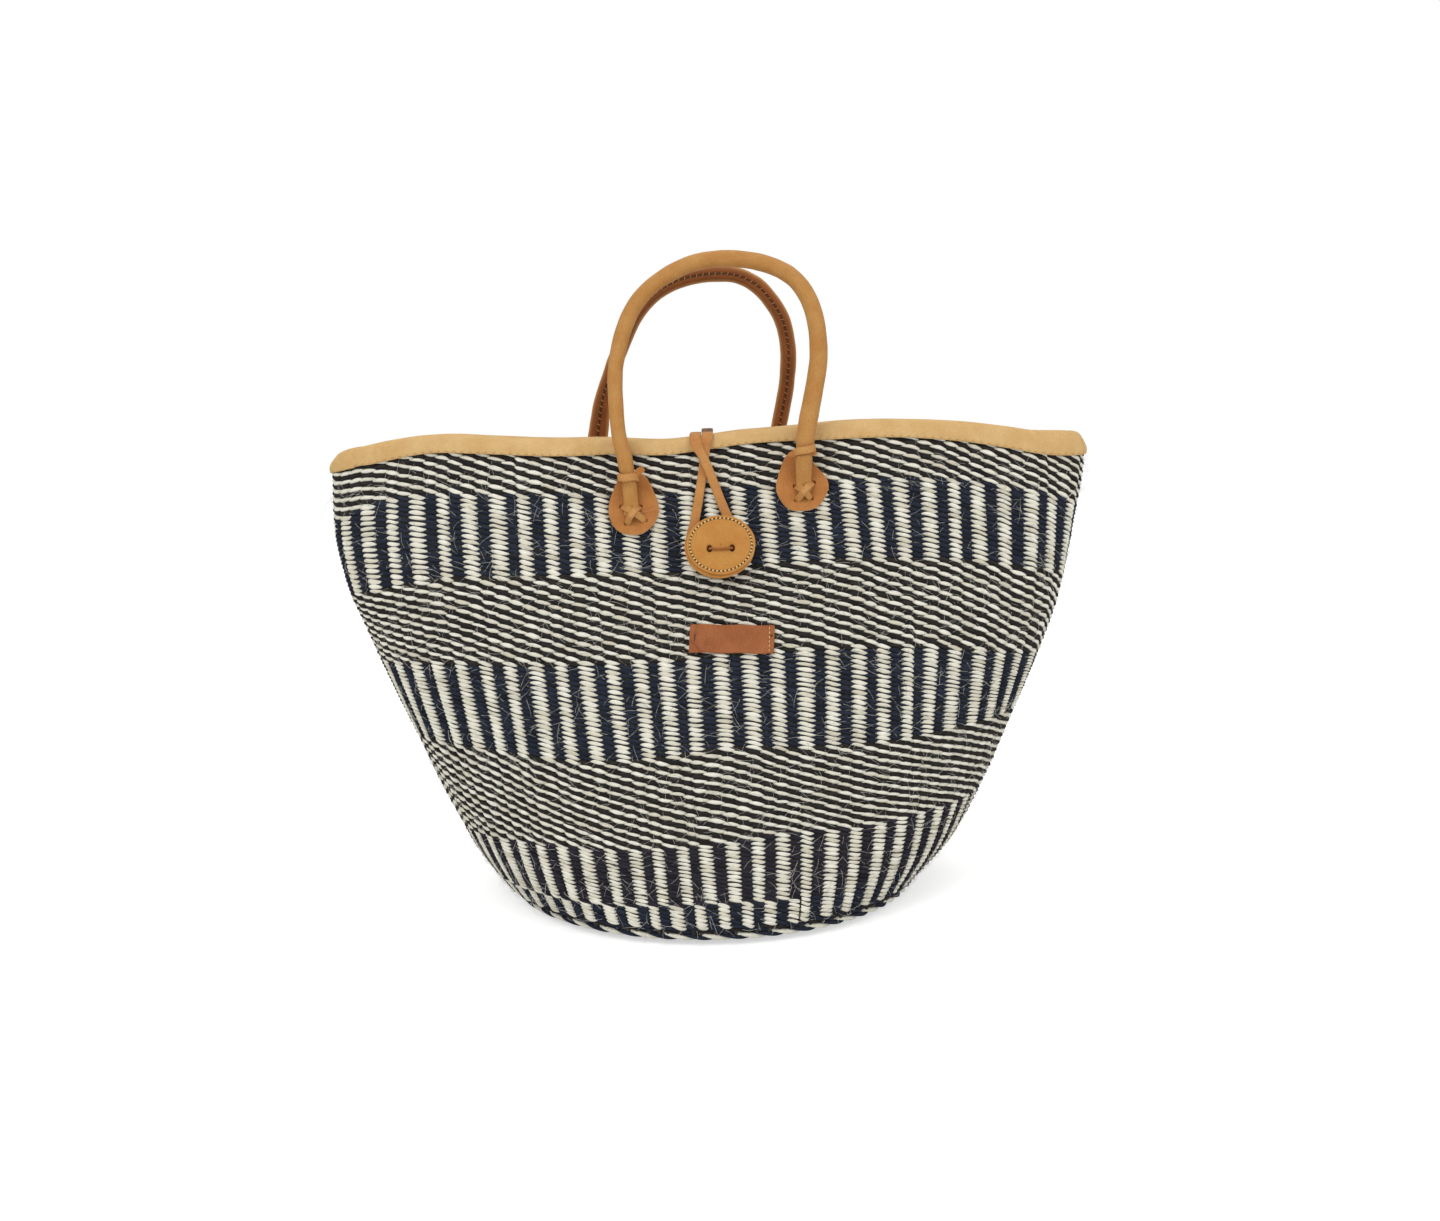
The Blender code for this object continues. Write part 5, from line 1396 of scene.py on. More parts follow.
def make_handle_cover(handle):
    """Rolled leather with its butted seam on the inner side, flattened under the laces."""
    route, wide, thick, leg = handle_line(handle)
    distance = lengths(route)
    guide = np.tile(handle.out, (len(route), 1))
    along, face, across = path_ways(route, guide)
    angles = np.arange(HANDLE_SIDES) * 2 * math.pi / HANDLE_SIDES
    arch_share = ease((np.minimum(distance - distance[leg - 4], distance[-leg + 4] - distance)) / 0.012)
    away = np.abs((angles + math.pi / 2 + math.pi) % (2 * math.pi) - math.pi)
    groove = np.exp(-(away / 0.13) ** 2)
    ridge = np.exp(-((away - 0.36) / 0.20) ** 2)
    lumps = 0.00022 * bumps(route, 0.018, handle.side * 3.0) + 0.00016 * bumps(route, 0.006, 5.0)
    if handle.side == BACK:
        flatten = ease(1.0 - (distance - distance[leg]) / 0.052) * (distance >= distance[leg])
        wide = wide * (1.0 + 0.34 * flatten)
        thick = thick * (1.0 - 0.30 * flatten)
    depth = (SEAM_RIDGE * ridge - SEAM_DEPTH * groove)[None] * arch_share[:, None]
    first = ((wide + lumps)[:, None] + depth) * np.cos(angles)
    second = ((thick + lumps)[:, None] + depth) * np.sin(angles)
    points, quads, corners = swept(route[None], across[None], face[None], first[None], second[None])
    around = np.arange(HANDLE_SIDES + 1) * (2 * math.pi * HANDLE_RADIUS / HANDLE_SIDES)
    uv = np.stack([distance[corners[..., 1]], around[corners[..., 2]]], -1)
    # Painted shade in the seam's groove.
    dark = 0.85 * groove[None] * arch_share[:, None]
    values = {"cut": np.zeros(len(points)), "dark": dark, "inner": np.tile(ease((1.3 - away) / 0.7), len(route))}
    piece = quad_piece(handle.name + "_handle_leather", points, quads, looks["handle"], {"Surface": uv}, values)
    sides = ("left", "right")
    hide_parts(handle.name + "_handle_cover", *["%s_%s_handle_tongue" % (handle.name, s) for s in sides])
    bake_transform(piece)


def make_handle_core(handle):
    """Cord inside the rolled leather."""
    route = handle.arch_route()
    guide = np.tile(handle.out, (len(route), 1))
    along, face, across = path_ways(route, guide)
    radius = (HANDLE_RADIUS - HANDLE_LEATHER) * 0.8
    angles = np.arange(10) * 2 * math.pi / 10
    size = np.full(len(route), radius)
    size[[0, -1]] *= 0.3
    first = (size[:, None] * np.cos(angles))[None]
    second = (size[:, None] * np.sin(angles))[None]
    points, quads, corners = swept(route[None], across[None], face[None], first, second)
    uv = np.stack([lengths(route)[corners[..., 1]], corners[..., 2] * 0.002], -1)
    piece = quad_piece(handle.name + "_handle_cord", points, quads, looks["cord"], {"Surface": uv})
    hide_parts(handle.name + "_handle_core")
    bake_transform(piece)


def make_seam_stitches(handle):
    """Stitches over the seam on the inner side of the arch."""
    route = handle.arch_route()
    distance = lengths(route)
    spots = np.arange(BEND_ABOVE * 1.3, distance[-1] - BEND_ABOVE * 1.3, SEAM_PITCH)
    middle = np.stack([np.interp(spots, distance, route[:, axis]) for axis in range(3)], -1)
    along, face, across = path_ways(middle, np.tile(handle.out, (len(middle), 1)))
    way = unit(across + along * 0.45)
    surface = middle - face * (HANDLE_RADIUS + 0.00005)
    piece = stitch_piece(handle.name + "_handle_seam_stitches", surface, way, -face, SEAM_STITCH_LENGTH,
                         SEAM_STITCH_RADIUS, looks["seam_thread"], 0.9)
    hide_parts(handle.name + "_handle_seam_thread")
    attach(piece, handle.name + "_handle")


# Leg ends

def slot_pits(x, y, slots, half_wide, half_high):
    """How deep inside one of the four lace slots a place is, from 0 to 1."""
    pit = np.zeros(x.shape)
    for slot_x, slot_y in slots:
        away = np.maximum(np.abs(x - slot_x) - half_wide, np.abs(y - slot_y) - half_high)
        pit = np.maximum(pit, ease(-away / 0.0005 + 0.5))
    return pit


def patch_slots(hand):
    return LEFT_SLOTS if hand < 0 else RIGHT_SLOTS


def patch_relief(hand, seed):
    def relief(x, y, share):
        pit = slot_pits(x, y, patch_slots(hand), 0.0016, 0.0009)
        tongue_shade = np.exp(-(x / 0.0050) ** 2) * ease((y + 0.006) / 0.008)
        spots = np.stack([x, y, np.full(x.shape, seed)], -1)
        rise = 0.00045 * bumps(spots, 0.009) + 0.0006 * np.clip(share - 0.7, 0, 1) / 0.3
        # Painted shade in the lace slots, and a painted shadow of the tongue down the patch's middle.
        shade = 0.9 * pit + 0.16 * tongue_shade * ease((y - 0.004) / 0.01)
        return rise - 0.0016 * pit, np.clip(shade, 0.0, 1.0)
    return relief


def make_patch(handle, hand, name):
    matrix, _ = handle.site(hand)
    points = []
    for across, height in LEFT_PATCH_SHARES if hand * handle.side < 0 else RIGHT_PATCH_SHARES:
        points.append((across * PATCH_HALF_WIDTH, height * (PATCH_ABOVE if height > 0.0 else PATCH_BELOW)))
    outline = rounded_outline(points, 150)

    def place(points):
        lifted = points.copy()
        lifted[..., 2] += SEAT_GAP
        return on_wall(matrix, handle.side, lifted)

    piece = plate_piece(name + "_leather_patch", outline, PATCH_LEATHER, looks["patch"], place, 46,
                        patch_relief(hand, hand * 0.31 + handle.side), 0.0005)
    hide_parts(name + "_patch")
    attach(piece, "basket")


def make_backing(handle, hand, name):
    matrix, wall = handle.site(hand)
    outline = rectangle_outline(BACKING_HALF_WIDTH, BACKING_HALF_HEIGHT, 0.0025, 96)

    def relief(x, y, share):
        pit = slot_pits(-x, y, patch_slots(hand), 0.0017, 0.0010)
        # The slots are darkened with painted shade.
        return 0.0003 * bumps(np.stack([x, y, x * 0], -1), 0.007) - 0.0012 * pit, 0.9 * pit

    def place(points):
        turned = points * np.array((-1.0, 1.0, -1.0))
        turned[..., 2] -= wall + SEAT_GAP
        return in_frame(matrix, turned)

    piece = plate_piece(name + "_leather_backing", outline, BACKING_LEATHER, looks["brown"], place, 24, relief)
    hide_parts(name + "_backing")
    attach(piece, "basket")


def lace_run(start, end, base, height, steps=28):
    """Route of one lace from slot to slot, over what lies between, dipping into the slots."""
    share = np.linspace(-0.06, 1.06, steps)
    flat = np.outer(1.0 - share, start) + np.outer(share, end)
    middle = np.abs(share - 0.5) * 2
    rise = base + (height - base) * (1.0 - ease((middle - 0.25) / 0.75)) - 0.0022 * np.clip(middle - 0.86, 0, 1) / 0.2
    return np.column_stack([flat, rise])


def make_lacing(handle, hand, name):
    """Two crossed runs outside and two runs along the backing inside."""
    matrix, wall = handle.site(hand)
    face = SEAT_GAP + PATCH_LEATHER + GAP + TONGUE_RISE + TONGUE_THICKNESS + LACE_LEATHER / 2
    base = SEAT_GAP + PATCH_LEATHER + LACE_LEATHER / 2
    upper_left, upper_right, lower_left, lower_right = (np.array(slot) for slot in patch_slots(hand))
    runs = (
        (upper_left, lower_right, face),
        (lower_left, upper_right, face + LACE_LEATHER * 0.9),
    )
    objects = []
    for index, (start, end, height) in enumerate(runs):
        route = lace_run(start, end, base, height)
        faces = np.tile((0.0, 0.0, 1.0), (len(route), 1))
        world = in_frame(matrix, route)
        turned = faces @ np.array(matrix.to_3x3()).T
        taper = 1.0 - 0.22 * np.abs(np.linspace(-1.0, 1.0, len(route))) ** 3
        piece = strap_piece("%s_lace_%d" % (name, index + 1), world, turned, LACE_WIDTH, LACE_LEATHER,
                            looks["lacing"], taper=taper)
        objects.append(piece)
    back = -(wall + SEAT_GAP + BACKING_LEATHER + GAP + LACE_LEATHER / 2)
    for index, (start, end) in enumerate(((lower_left, upper_left), (lower_right, upper_right))):
        route = lace_run(start, end, -back - 0.0008, -back)
        route[:, 2] *= -1
        turned = np.tile((0.0, 0.0, -1.0), (len(route), 1)) @ np.array(matrix.to_3x3()).T
        piece = strap_piece("%s_lace_inside_%d" % (name, index + 1), in_frame(matrix, route), turned,
                            LACE_WIDTH, LACE_LEATHER, looks["tan"])
        objects.append(piece)
    for piece in objects:
        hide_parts(name + "_lacing")
        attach(piece, "basket")


def make_collar(handle, hand, name):
    """Thin strap pulled round the handle's end."""
    centre = handle.leg_end(hand, COLLAR_LIFTS[handle.name, hand] - COLLAR_DROP - COLLAR_HEIGHT / 2)
    radius = HANDLE_RADIUS * COLLAR_SHARES[handle.name, hand] + GAP + COLLAR_LEATHER / 2
    turns = np.arange(72) * 2 * math.pi / 72
    across = handle.along * handle.side
    ring = np.outer(np.cos(turns), across) + np.outer(np.sin(turns), handle.out)
    tilt = 0.0007 * np.cos(turns) * hand + 0.0003 * np.sin(turns * 3 + hand)
    squeeze = 1.0 - 0.03 * np.cos(turns * 2)
    route = centre + ring * (radius * squeeze)[:, None] + np.outer(tilt, handle.up)
    piece = strap_piece(name + "_collar_strap", route, ring, COLLAR_BAND, COLLAR_LEATHER, looks["lacing"], True)
    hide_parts(name + "_collar")
    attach(piece, "basket")


def leaf_outline(length, half_width_leaf, steps=60):
    """Pointed leaf from its root at zero to its tip."""
    share = np.linspace(0.0, 1.0, steps // 2)
    wide = half_width_leaf * np.sqrt(np.clip(1.0 - share ** 1.6, 0.0, 1.0)) * (0.75 + 0.25 * share)
    wide[-1] = half_width_leaf * 0.08
    right = np.column_stack([share * length, -wide])
    left = np.column_stack([share * length, wide])[::-1]
    return np.concatenate([right, left])


def make_collar_end(handle, hand, name, index, side, length, rise, turn, blunt=False):
    """Free end of the collar strap, which sticks out beside the handle."""
    middle = handle.leg_end(hand, rise - COLLAR_DROP - COLLAR_HEIGHT / 2)
    across = handle.along * side
    normal = unit(handle.out * 0.92 + across * 0.4)
    way = unit(across * math.cos(turn) + handle.up * math.sin(turn) - normal * np.dot(across, normal) * 0.6)
    high = np.cross(normal, way)
    root = middle + across * (HANDLE_RADIUS - 0.0012) + handle.out * 0.0022

    def place(points):
        curl = 0.0010 * (points[..., 0] / length) ** 2
        return (root + points[..., 0:1] * way + points[..., 1:2] * high
                + (points[..., 2:3] + curl[..., None]) * normal)

    outline = leaf_outline(length, COLLAR_BAND * 0.5)
    if blunt:
        outline = rectangle_outline(length / 2, COLLAR_BAND * 0.42, 0.0009, 60) + np.array((length / 2, 0.0))
    piece = plate_piece("%s_collar_end_%d" % (name, index), outline, COLLAR_LEATHER, looks["patch"], place, 10,
                        None, 0.0003, (length * 0.4, 0.0))
    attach(piece, "basket")


# Button

def button_frame():
    return wall_frame(BUTTON_X, BUTTON_Z, FRONT)


def button_matrix():
    middle = BUTTON_STANDOFF + BUTTON_LEATHER + GAP / 2
    return button_frame() @ Matrix.Translation((0.0, 0.0, middle)) @ Matrix.Rotation(-BUTTON_TILT, 4, "X")


def button_relief(groove):
    def relief(x, y, share):
        hole = np.zeros(x.shape)
        lip = np.zeros(x.shape)
        for hand in (-1, 1):
            away = np.hypot((x - hand * THONG_HALF_SPAN) * 1.4, y + HOLE_DROP)
            hole = np.maximum(hole, ease((THONG_RADIUS + THONG_PLAY - away) / 0.0006 + 0.4))
            lip = lip + np.exp(-((away - THONG_RADIUS - THONG_PLAY - 0.0008) / 0.0009) ** 2)
        reach = np.hypot(x, y / BUTTON_HEIGHT_SHARE)
        ring = np.exp(-((reach - BUTTON_RADIUS + BUTTON_THREAD_INSET) / 0.0008) ** 2) * groove
        spots = np.stack([x, y, x * 0], -1)
        # Painted shade darkens the thong holes and the stitch groove; the lip round each hole is a little darker too.
        rise = 0.00035 * bumps(spots, 0.014, 2.0) - 0.00035 * ring - 0.0018 * hole + 0.00012 * lip
        return rise, np.clip(0.95 * hole + 0.10 * ring + 0.08 * lip, 0.0, 1.0)
    return relief


def make_button():
    matrix = button_matrix()
    angles = np.arange(150) * 2 * math.pi / 150
    circle = np.stack([np.cos(angles), np.sin(angles) * BUTTON_HEIGHT_SHARE], -1)
    uneven = 1.0 + 0.006 * np.sin(angles * 3 + 0.5) + 0.004 * np.sin(angles * 7)
    sets = (
        ("button_face", "button_leather", BUTTON_RADIUS, GAP / 2, 70, 1.0, (0.0, 0.0)),
        ("button_back", "button_back_leather", BUTTON_RADIUS + BUTTON_BACK_EXTRA,
         -GAP / 2 - BUTTON_LEATHER, 70, 0.0, (-0.0008, -0.0010)),
    )
    for node, name, radius, low, rings, groove, shift in sets:
        def place(points, low=low, shift=shift):
            return in_frame(matrix, points + np.array((shift[0], shift[1], low)))

        piece = plate_piece(name, circle * (radius * uneven)[:, None], BUTTON_LEATHER, looks["tan"], place,
                            rings, button_relief(groove), 0.0005)
        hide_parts(node)
        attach(piece, "button")
    turns = np.arange(BUTTON_STITCHES) * 2 * math.pi / BUTTON_STITCHES
    radius = BUTTON_RADIUS - BUTTON_THREAD_INSET
    height = GAP / 2 + BUTTON_LEATHER - 0.00045
    rise = radius * BUTTON_HEIGHT_SHARE * np.sin(turns)
    middles = np.stack([radius * np.cos(turns), rise, np.full(len(turns), height)], -1)
    ways = np.stack([-np.sin(turns + 0.35), np.cos(turns + 0.35), turns * 0], -1)
    turn = np.array(matrix.to_3x3())
    outs = np.tile(turn[:, 2], (len(turns), 1))
    piece = stitch_piece("button_stitches", in_frame(matrix, middles), ways @ turn.T, outs,
                         BUTTON_STITCH_LENGTH, BUTTON_STITCH_RADIUS, looks["thread"], 0.35)
    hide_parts("button_stitching")
    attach(piece, "button")
    # Short dark pieces between the stitches: painted shade in the prick holes.
    turns = turns + math.pi / BUTTON_STITCHES
    rise = radius * BUTTON_HEIGHT_SHARE * np.sin(turns)
    middles = np.stack([radius * np.cos(turns), rise, np.full(len(turns), height + 0.0001)], -1)
    piece = stitch_piece("button_prick_hole_shades", in_frame(matrix, middles), ways @ turn.T, outs,
                         BUTTON_PRICK_LENGTH, BUTTON_PRICK_RADIUS, looks["dark_thread"], 0.35)
    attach(piece, "button")


def make_thong():
    """Lace through both holes, slack over the face of the button, and tied at the washer inside."""
    wall = wall_depth_here(button_frame(), BUTTON_X, BUTTON_Z, FRONT)
    top = BUTTON_STANDOFF + 2 * BUTTON_LEATHER + GAP + THONG_RADIUS
    low = -(wall + SEAT_GAP + WASHER_LEATHER + THONG_RADIUS)
    side = THONG_HALF_SPAN
    shape = (
        (-side, 0.0, low + 0.0012), (-side, -HOLE_DROP / 3, 0.0), (-side, -HOLE_DROP, BUTTON_STANDOFF - 0.001),
        (-side, -HOLE_DROP, top - 0.0008), (-side * 0.82, -HOLE_DROP, top + 0.0002),
        (-side * 0.4, -HOLE_DROP * 1.15, top + 0.0004), (0.0, -HOLE_DROP * 1.2, top + 0.0004),
        (side * 0.45, -HOLE_DROP * 1.1, top + 0.0004), (side * 0.84, -HOLE_DROP, top + 0.0002),
        (side, -HOLE_DROP, top - 0.0009), (side, -HOLE_DROP, BUTTON_STANDOFF - 0.001),
        (side, -HOLE_DROP / 3, 0.0), (side, 0.0, low + 0.0012),
        (side * 0.8, 0.0, low), (0.0, 0.0003, low), (-side * 0.8, 0.0, low),
    )
    ring = [np.array(point) for point in shape]
    route = smooth_route(ring[-1:] + ring + ring[:2], 6)[6:-12]
    guide = np.tile((0.0, 1.0, 0.0), (len(route), 1))
    matrix = button_frame()
    turned = guide @ np.array(matrix.to_3x3()).T
    piece = strap_piece("button_lace", in_frame(matrix, route), turned, THONG_RADIUS * 1.1, THONG_RADIUS * 1.3,
                        looks["lace"], True)
    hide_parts("button_thong")
    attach(piece, "basket")


def make_washer():
    matrix = button_frame()
    wall = wall_depth_here(matrix, BUTTON_X, BUTTON_Z, FRONT)

    def place(points):
        turned = points * np.array((-1.0, 1.0, -1.0))
        turned[..., 2] -= wall + SEAT_GAP
        return in_frame(matrix, turned)

    outline = rectangle_outline(WASHER_HALF_WIDTH, WASHER_HALF_HEIGHT, 0.002, 80)
    piece = plate_piece("button_leather_washer", outline, WASHER_LEATHER, looks["brown"], place, 12)
    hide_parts("button_washer")
    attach(piece, "basket")


# Closure loop

def rim_top(x):
    return BODY_HEIGHT + float(rim_rise(x / (BODY_WIDTH / 2), 1.0)) + SEAT_GAP + BINDING_TOP


def tab_frame():
    return wall_frame(sum(LOOP_ENDS_X) / 2, TAB_Z, BACK, -WALL)


def over_the_rim(x, arch):
    """Way of a strap from the binding's front face, across the mouth, to the inside of the back wall."""
    lie = 2.0 * GAP + STRAP_LEATHER / 2
    top = rim_top(x)
    depth = float(half_depth(1.0))
    front = depth + SEAT_GAP + BINDING_LEATHER + lie * CORNER_SHARE
    inner = depth - WALL - SEAT_GAP - BINDING_LEATHER - 2.0 * lie
    middle = depth - WALL / 2
    matrix = tab_frame()
    beside = sum(LOOP_ENDS_X) / 2 - x
    under_tab = -(SEAT_GAP + GAP + STRAP_LEATHER / 2)
    points = [
        (x, -front, top - BINDING_TOP + lie * CORNER_SHARE),
        (x, -middle, top + lie),
        (x, -middle / 2, top + lie + arch),
        (x, middle / 4, top + lie + arch / 2),
        (x, inner * 0.8, top - BINDING_HEIGHT / 3),
        (x, inner, top - BINDING_HEIGHT),
        tuple(matrix @ Vector((beside, TAB_HALF_HEIGHT * 1.2, under_tab))),
        tuple(matrix @ Vector((beside, -TAB_HALF_HEIGHT * 0.8, under_tab))),
    ]
    faces = [(0.0, -0.7, 0.7), (0.0, -0.1, 1.0), (0.0, 0.0, 1.0), (0.0, 0.3, 1.0),
             (0.0, 0.9, 0.5), (0.0, 1.0, 0.1), (0.0, 1.0, -0.2), (0.0, 1.0, -0.3)]
    return points, faces


def make_closure_loop():
    """Strap that comes over the rim twice, crosses itself and passes behind the button."""
    lie = SEAT_GAP + GAP + STRAP_LEATHER / 2
    over_binding = SEAT_GAP + BINDING_LEATHER + 2.0 * (GAP + THREAD_RADIUS) + GAP + STRAP_LEATHER / 2
    first_x, last_x = LOOP_ENDS_X
    first_arch, last_arch = MOUTH_ARCHES
    start_points, start_faces = over_the_rim(first_x, first_arch)
    points = start_points[::-1]
    faces = start_faces[::-1]
    binding_low = BODY_HEIGHT - BINDING_HEIGHT
    below = over_binding * FALL_SHARE
    above = STRAP_LEATHER + GAP
    down = []
    for (across, rise), offset in zip(DOWN_SHARES, (over_binding, over_binding, below)):
        down.append((across * STRAP_WIDTH, binding_low + rise * BINDING_HEIGHT, offset))
    for across, rise in EYE_SHARES:
        height = BUTTON_Z + rise * BUTTON_RADIUS * BUTTON_HEIGHT_SHARE
        down.append((BUTTON_X + across * BUTTON_RADIUS, height, lie))
    offsets = (below + above + GAP, over_binding + above + GAP, over_binding + above + GAP, over_binding + above)
    for (across, rise), offset in zip(UP_SHARES, offsets):
        down.append((across * STRAP_WIDTH, binding_low + rise * BINDING_HEIGHT, offset))
    for x, z, offset in down:
        spot, _, _, out = wall_axes(x, z, FRONT)
        points.append(tuple(spot + out * offset))
        faces.append(tuple(out))
    end_points, end_faces = over_the_rim(last_x, last_arch)
    route = smooth_route(points + end_points, STRAP_STEPS)
    turned = smooth_route(faces + end_faces, STRAP_STEPS)
    places = np.arange(len(route)) / STRAP_STEPS
    from_end = np.minimum(places, places[-1] - places)
    spread = ease((from_end - 3.5) / 1.5) * ease((9.8 - from_end) / 2.3)
    # Painted shade on the first run's arch over the mouth behind the front rim, also standing for the strap's darker
    # flesh side.
    mouth = ease((route[:, 1] + float(half_depth(1.0)) - WALL / 3) / (WALL / 2)) * (places < places[-1] / 2)
    piece = strap_piece("closure_strap", route, turned, STRAP_WIDTH, STRAP_LEATHER, looks["strap"],
                        taper=1.0 + STRAP_SPREAD * spread, shade=0.75 * mouth)
    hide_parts("closure_loop")
    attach(piece, "basket")


def make_loop_tab():
    matrix = tab_frame()
    inward = SEAT_GAP + GAP + STRAP_LEATHER + 2.0 * GAP

    def place(points):
        turned = points * np.array((-1.0, 1.0, -1.0))
        turned[..., 2] -= inward
        return in_frame(matrix, turned)

    outline = rectangle_outline(TAB_HALF_WIDTH, TAB_HALF_HEIGHT, 0.0015, 96)
    piece = plate_piece("closure_leather_tab", outline, TAB_LEATHER, looks["tan"], place, 12)
    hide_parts("closure_loop_tab")
    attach(piece, "basket")


# Label

def label_frame():
    return wall_frame(LABEL_X, LABEL_Z, FRONT) @ Matrix.Rotation(LABEL_TURN, 4, "Z")


def label_relief(x, y, share):
    """Crease at the lower left, a stitch line near the right end and its hole, darkened with painted shade."""
    end = LABEL_HALF_WIDTH - LABEL_STITCH_INSET
    fold = np.abs((x + end) * 0.72 + (y + LABEL_HALF_HEIGHT * 0.45) * 0.7)
    fold = np.exp(-(fold / 0.0004) ** 2) * (y < 0.0)
    line = np.exp(-(np.abs(x + end - 0.0006) / 0.0003) ** 2) * (y > -0.001)
    seam = np.exp(-(np.abs(x - end + 0.0004) / 0.0003) ** 2)
    hole = ease(1.2 - np.hypot(x - end - 0.0012, y - 0.0022) / 0.0009)
    spots = np.stack([x, y, x * 0], -1)
    rise = 0.0003 * bumps(spots, 0.012) - 0.0003 * (fold + line) - 0.00018 * seam - 0.0010 * hole
    # The crease, the lines and the hole get painted shade.
    return rise, np.clip(0.30 * fold + 0.28 * line + 0.12 * seam + 0.9 * hole, 0.0, 1.0)


def make_label():
    matrix = label_frame()

    def place(points):
        lifted = points.copy()
        lifted[..., 0] += 0.025 * points[..., 1]
        lifted[..., 2] += SEAT_GAP
        return on_wall(matrix, FRONT, lifted)

    outline = rectangle_outline(LABEL_HALF_WIDTH, LABEL_HALF_HEIGHT, 0.0009, 220)
    outline[:, 1] += 0.0002 * np.sin(outline[:, 0] * 300.0)
    piece = plate_piece("leather_label", outline, LABEL_LEATHER, looks["brown"], place, 60, label_relief, 0.0004)
    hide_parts("label")
    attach(piece, "basket")


def make_label_stitches():
    """A column of small stitches at the right end of the label and a single long stitch at the left."""
    matrix = label_frame()
    for hand, word, count in ((-1, "left", 1), (1, "right", 6)):
        x = hand * (LABEL_HALF_WIDTH - LABEL_STITCH_INSET)
        y = np.linspace(-0.78, 0.78, count) * LABEL_HALF_HEIGHT if count > 1 else np.array([0.0004])
        height = SEAT_GAP + LABEL_LEATHER - 0.00010
        middles = np.stack([np.full(len(y), x), y, np.full(len(y), height)], -1)
        turn = np.array(matrix.to_3x3())
        ways = np.tile(turn[:, 1], (len(y), 1))
        outs = np.tile(turn[:, 2], (len(y), 1))
        look = looks["dark_thread"] if hand < 0 else looks["thread"]
        length = 0.0062 if count == 1 else 0.0017
        piece = stitch_piece("label_%s_stitches" % word, on_wall(matrix, FRONT, middles), ways, outs, length,
                             0.00024, look, 0.4)
        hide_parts("label_%s_stitch" % word)
        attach(piece, "basket")


# Stage

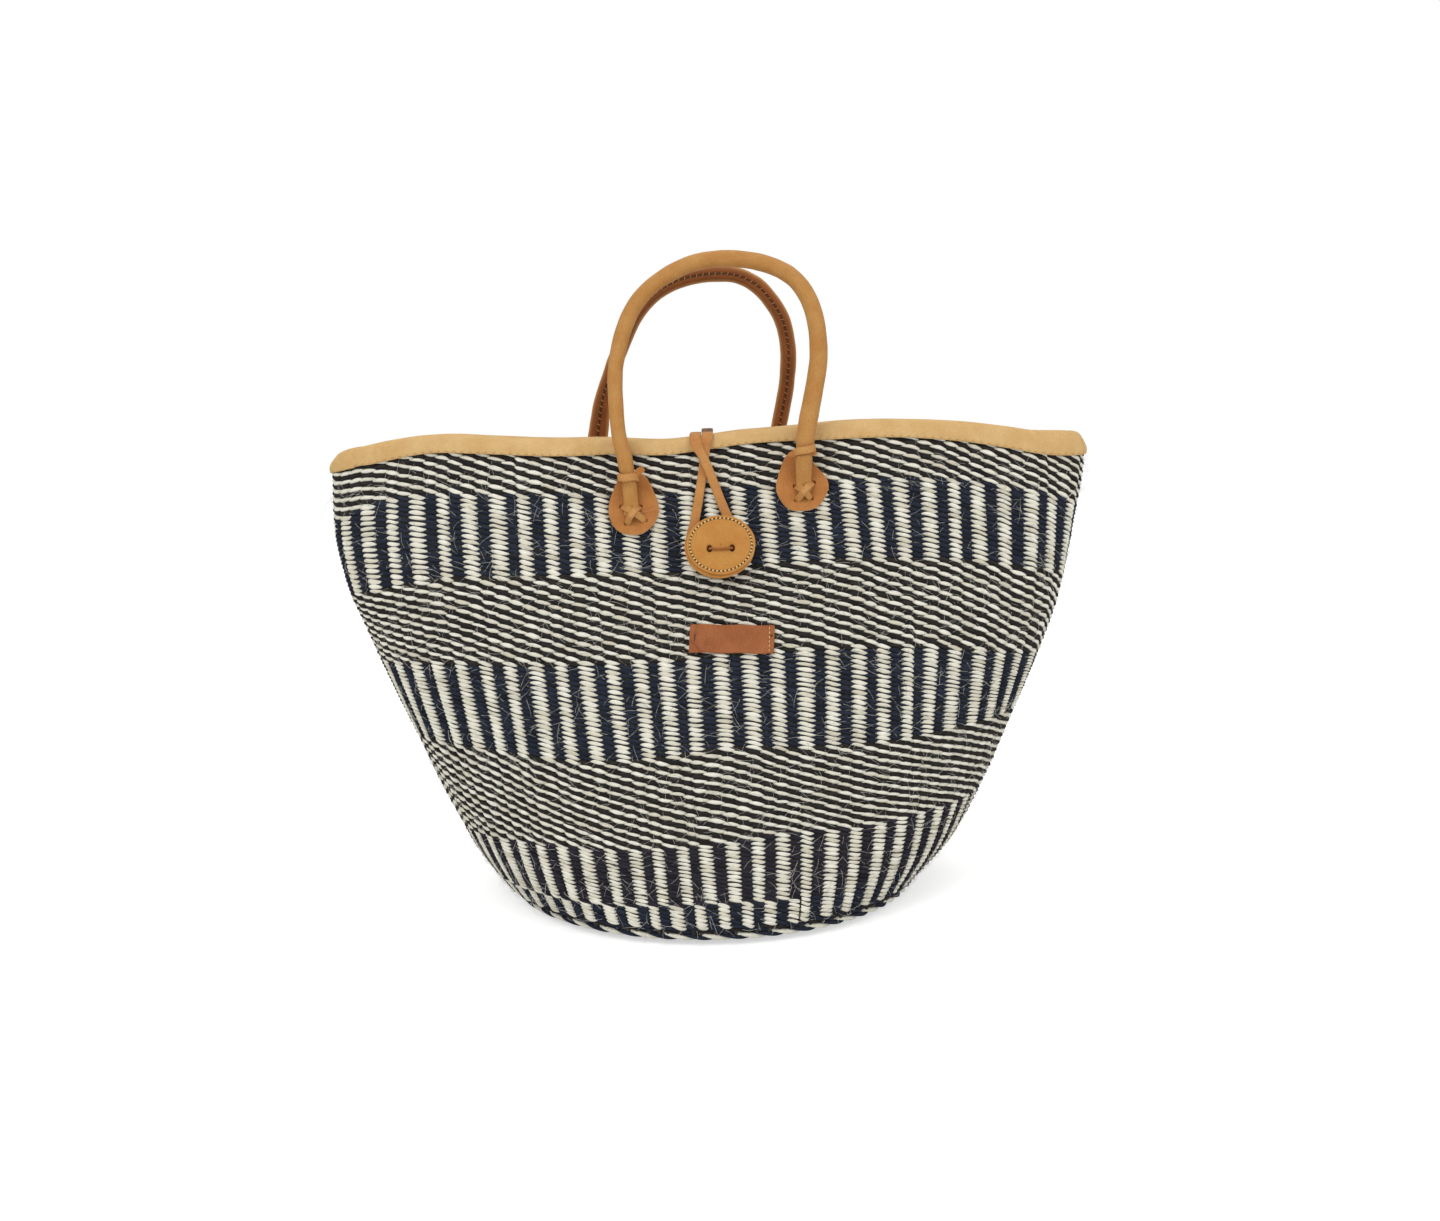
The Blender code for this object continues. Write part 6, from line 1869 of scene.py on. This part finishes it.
def make_stage():
    """White floor and surroundings, soft lamps, and the camera of the photograph."""
    world = bpy.data.worlds.new("surroundings")
    bpy.context.scene.world = world
    world.use_nodes = True
    tree = world.node_tree
    tree.nodes.clear()
    path = tree.nodes.new("ShaderNodeLightPath")
    white = tree.nodes.new("ShaderNodeBackground")
    white.inputs[0].default_value = (1.0, 1.0, 1.0, 1.0)
    white.inputs[1].default_value = 1.0
    soft = tree.nodes.new("ShaderNodeBackground")
    soft.inputs[0].default_value = (1.0, 1.0, 1.0, 1.0)
    soft.inputs[1].default_value = 0.60
    either = tree.nodes.new("ShaderNodeMath")
    either.operation = "MAXIMUM"
    mixed = tree.nodes.new("ShaderNodeMixShader")
    out = tree.nodes.new("ShaderNodeOutputWorld")
    tree.links.new(path.outputs["Is Camera Ray"], either.inputs[0])
    tree.links.new(path.outputs["Is Transmission Ray"], either.inputs[1])
    tree.links.new(either.outputs[0], mixed.inputs[0])
    tree.links.new(soft.outputs[0], mixed.inputs[1])
    tree.links.new(white.outputs[0], mixed.inputs[2])
    tree.links.new(mixed.outputs[0], out.inputs[0])

    bpy.ops.mesh.primitive_plane_add(size=8.0, location=(0.0, 0.0, 0.0))
    floor = bpy.context.object
    floor.name = "floor"
    look = Look("floor")
    look.set(Base_Color=(0.86, 0.86, 0.86, 1.0), Roughness=0.9, Specular_IOR_Level=0.1)
    ray = look.add("ShaderNodeLightPath")
    glow = look.add("ShaderNodeEmission", Color=(1.0, 1.0, 1.0, 1.0), Strength=0.56)
    total = look.add("ShaderNodeAddShader")
    look.tree.links.new(look.surface.outputs[0], total.inputs[0])
    look.tree.links.new(glow.outputs[0], total.inputs[1])
    choice = look.add("ShaderNodeMixShader")
    look.put(choice.inputs[0], ray.outputs["Is Camera Ray"])
    look.tree.links.new(look.surface.outputs[0], choice.inputs[1])
    look.tree.links.new(total.outputs[0], choice.inputs[2])
    look.tree.links.new(choice.outputs[0], look.tree.nodes["Material Output"].inputs["Surface"])
    floor.data.materials.append(look.material)

    lamps = (
        ("key_lamp", (-0.9, -1.5, 1.7), 1.3, 14.0),
        ("fill_lamp", (1.3, -1.2, 1.1), 1.4, 6.4),
        ("top_lamp", (0.1, 0.5, 1.9), 1.6, 7.6),
    )
    for name, place, size, power in lamps:
        data = bpy.data.lights.new(name, "AREA")
        data.size = size
        data.energy = power
        lamp = bpy.data.objects.new(name, data)
        lamp.location = place
        lamp.rotation_euler = (Vector((0.0, 0.0, 0.15)) - Vector(place)).to_track_quat("-Z", "Y").to_euler()
        bpy.context.scene.collection.objects.link(lamp)

    data = bpy.data.cameras.new("camera")
    data.sensor_width = 36.0
    data.sensor_fit = "HORIZONTAL"
    data.lens = 35.16
    camera = bpy.data.objects.new("camera", data)
    pitch = math.radians(7.9)
    roll = math.radians(-1.6)
    ahead = Vector((0.0, math.cos(pitch), -math.sin(pitch)))
    right = Vector((1.0, 0.0, 0.0))
    above = right.cross(ahead)
    turned_right = right * math.cos(roll) + above * math.sin(roll)
    turned_up = above * math.cos(roll) - right * math.sin(roll)
    matrix = Matrix((turned_right, turned_up, -ahead)).transposed().to_4x4()
    matrix.translation = Vector((0.0062, -0.900, 0.303))
    camera.matrix_world = matrix
    bpy.context.scene.collection.objects.link(camera)
    bpy.context.scene.camera = camera
    bpy.context.scene.view_settings.view_transform = "Standard"


def build():
    make_stage()
    make_wall()
    make_warps()
    make_core()
    make_edge_rope()
    make_base()
    make_hairs()
    make_binding()
    make_binding_overlap()
    make_rim_stitches()
    for handle in handles:
        make_handle_cover(handle)
        make_handle_core(handle)
        make_seam_stitches(handle)
        for hand, word in ((-1, "left"), (1, "right")):
            name = handle.name + "_" + word
            make_patch(handle, hand, name)
            make_backing(handle, hand, name)
            make_lacing(handle, hand, name)
            make_collar(handle, hand, name)
    front, back = handles
    make_collar_end(front, -1, "front_left", 1, 1, 0.0066, 0.0006, math.radians(30), True)
    make_collar_end(front, 1, "front_right", 1, -1, 0.0062, 0.0012, math.radians(-14))
    make_collar_end(front, 1, "front_right", 2, 1, 0.0030, -0.0002, math.radians(-30))
    make_collar_end(back, -1, "back_left", 1, -1, 0.0060, 0.0020, math.radians(30))
    make_collar_end(back, 1, "back_right", 1, 1, 0.0060, 0.0010, math.radians(12))
    make_button()
    make_thong()
    make_washer()
    make_closure_loop()
    make_loop_tab()
    make_label()
    make_label_stitches()


build()
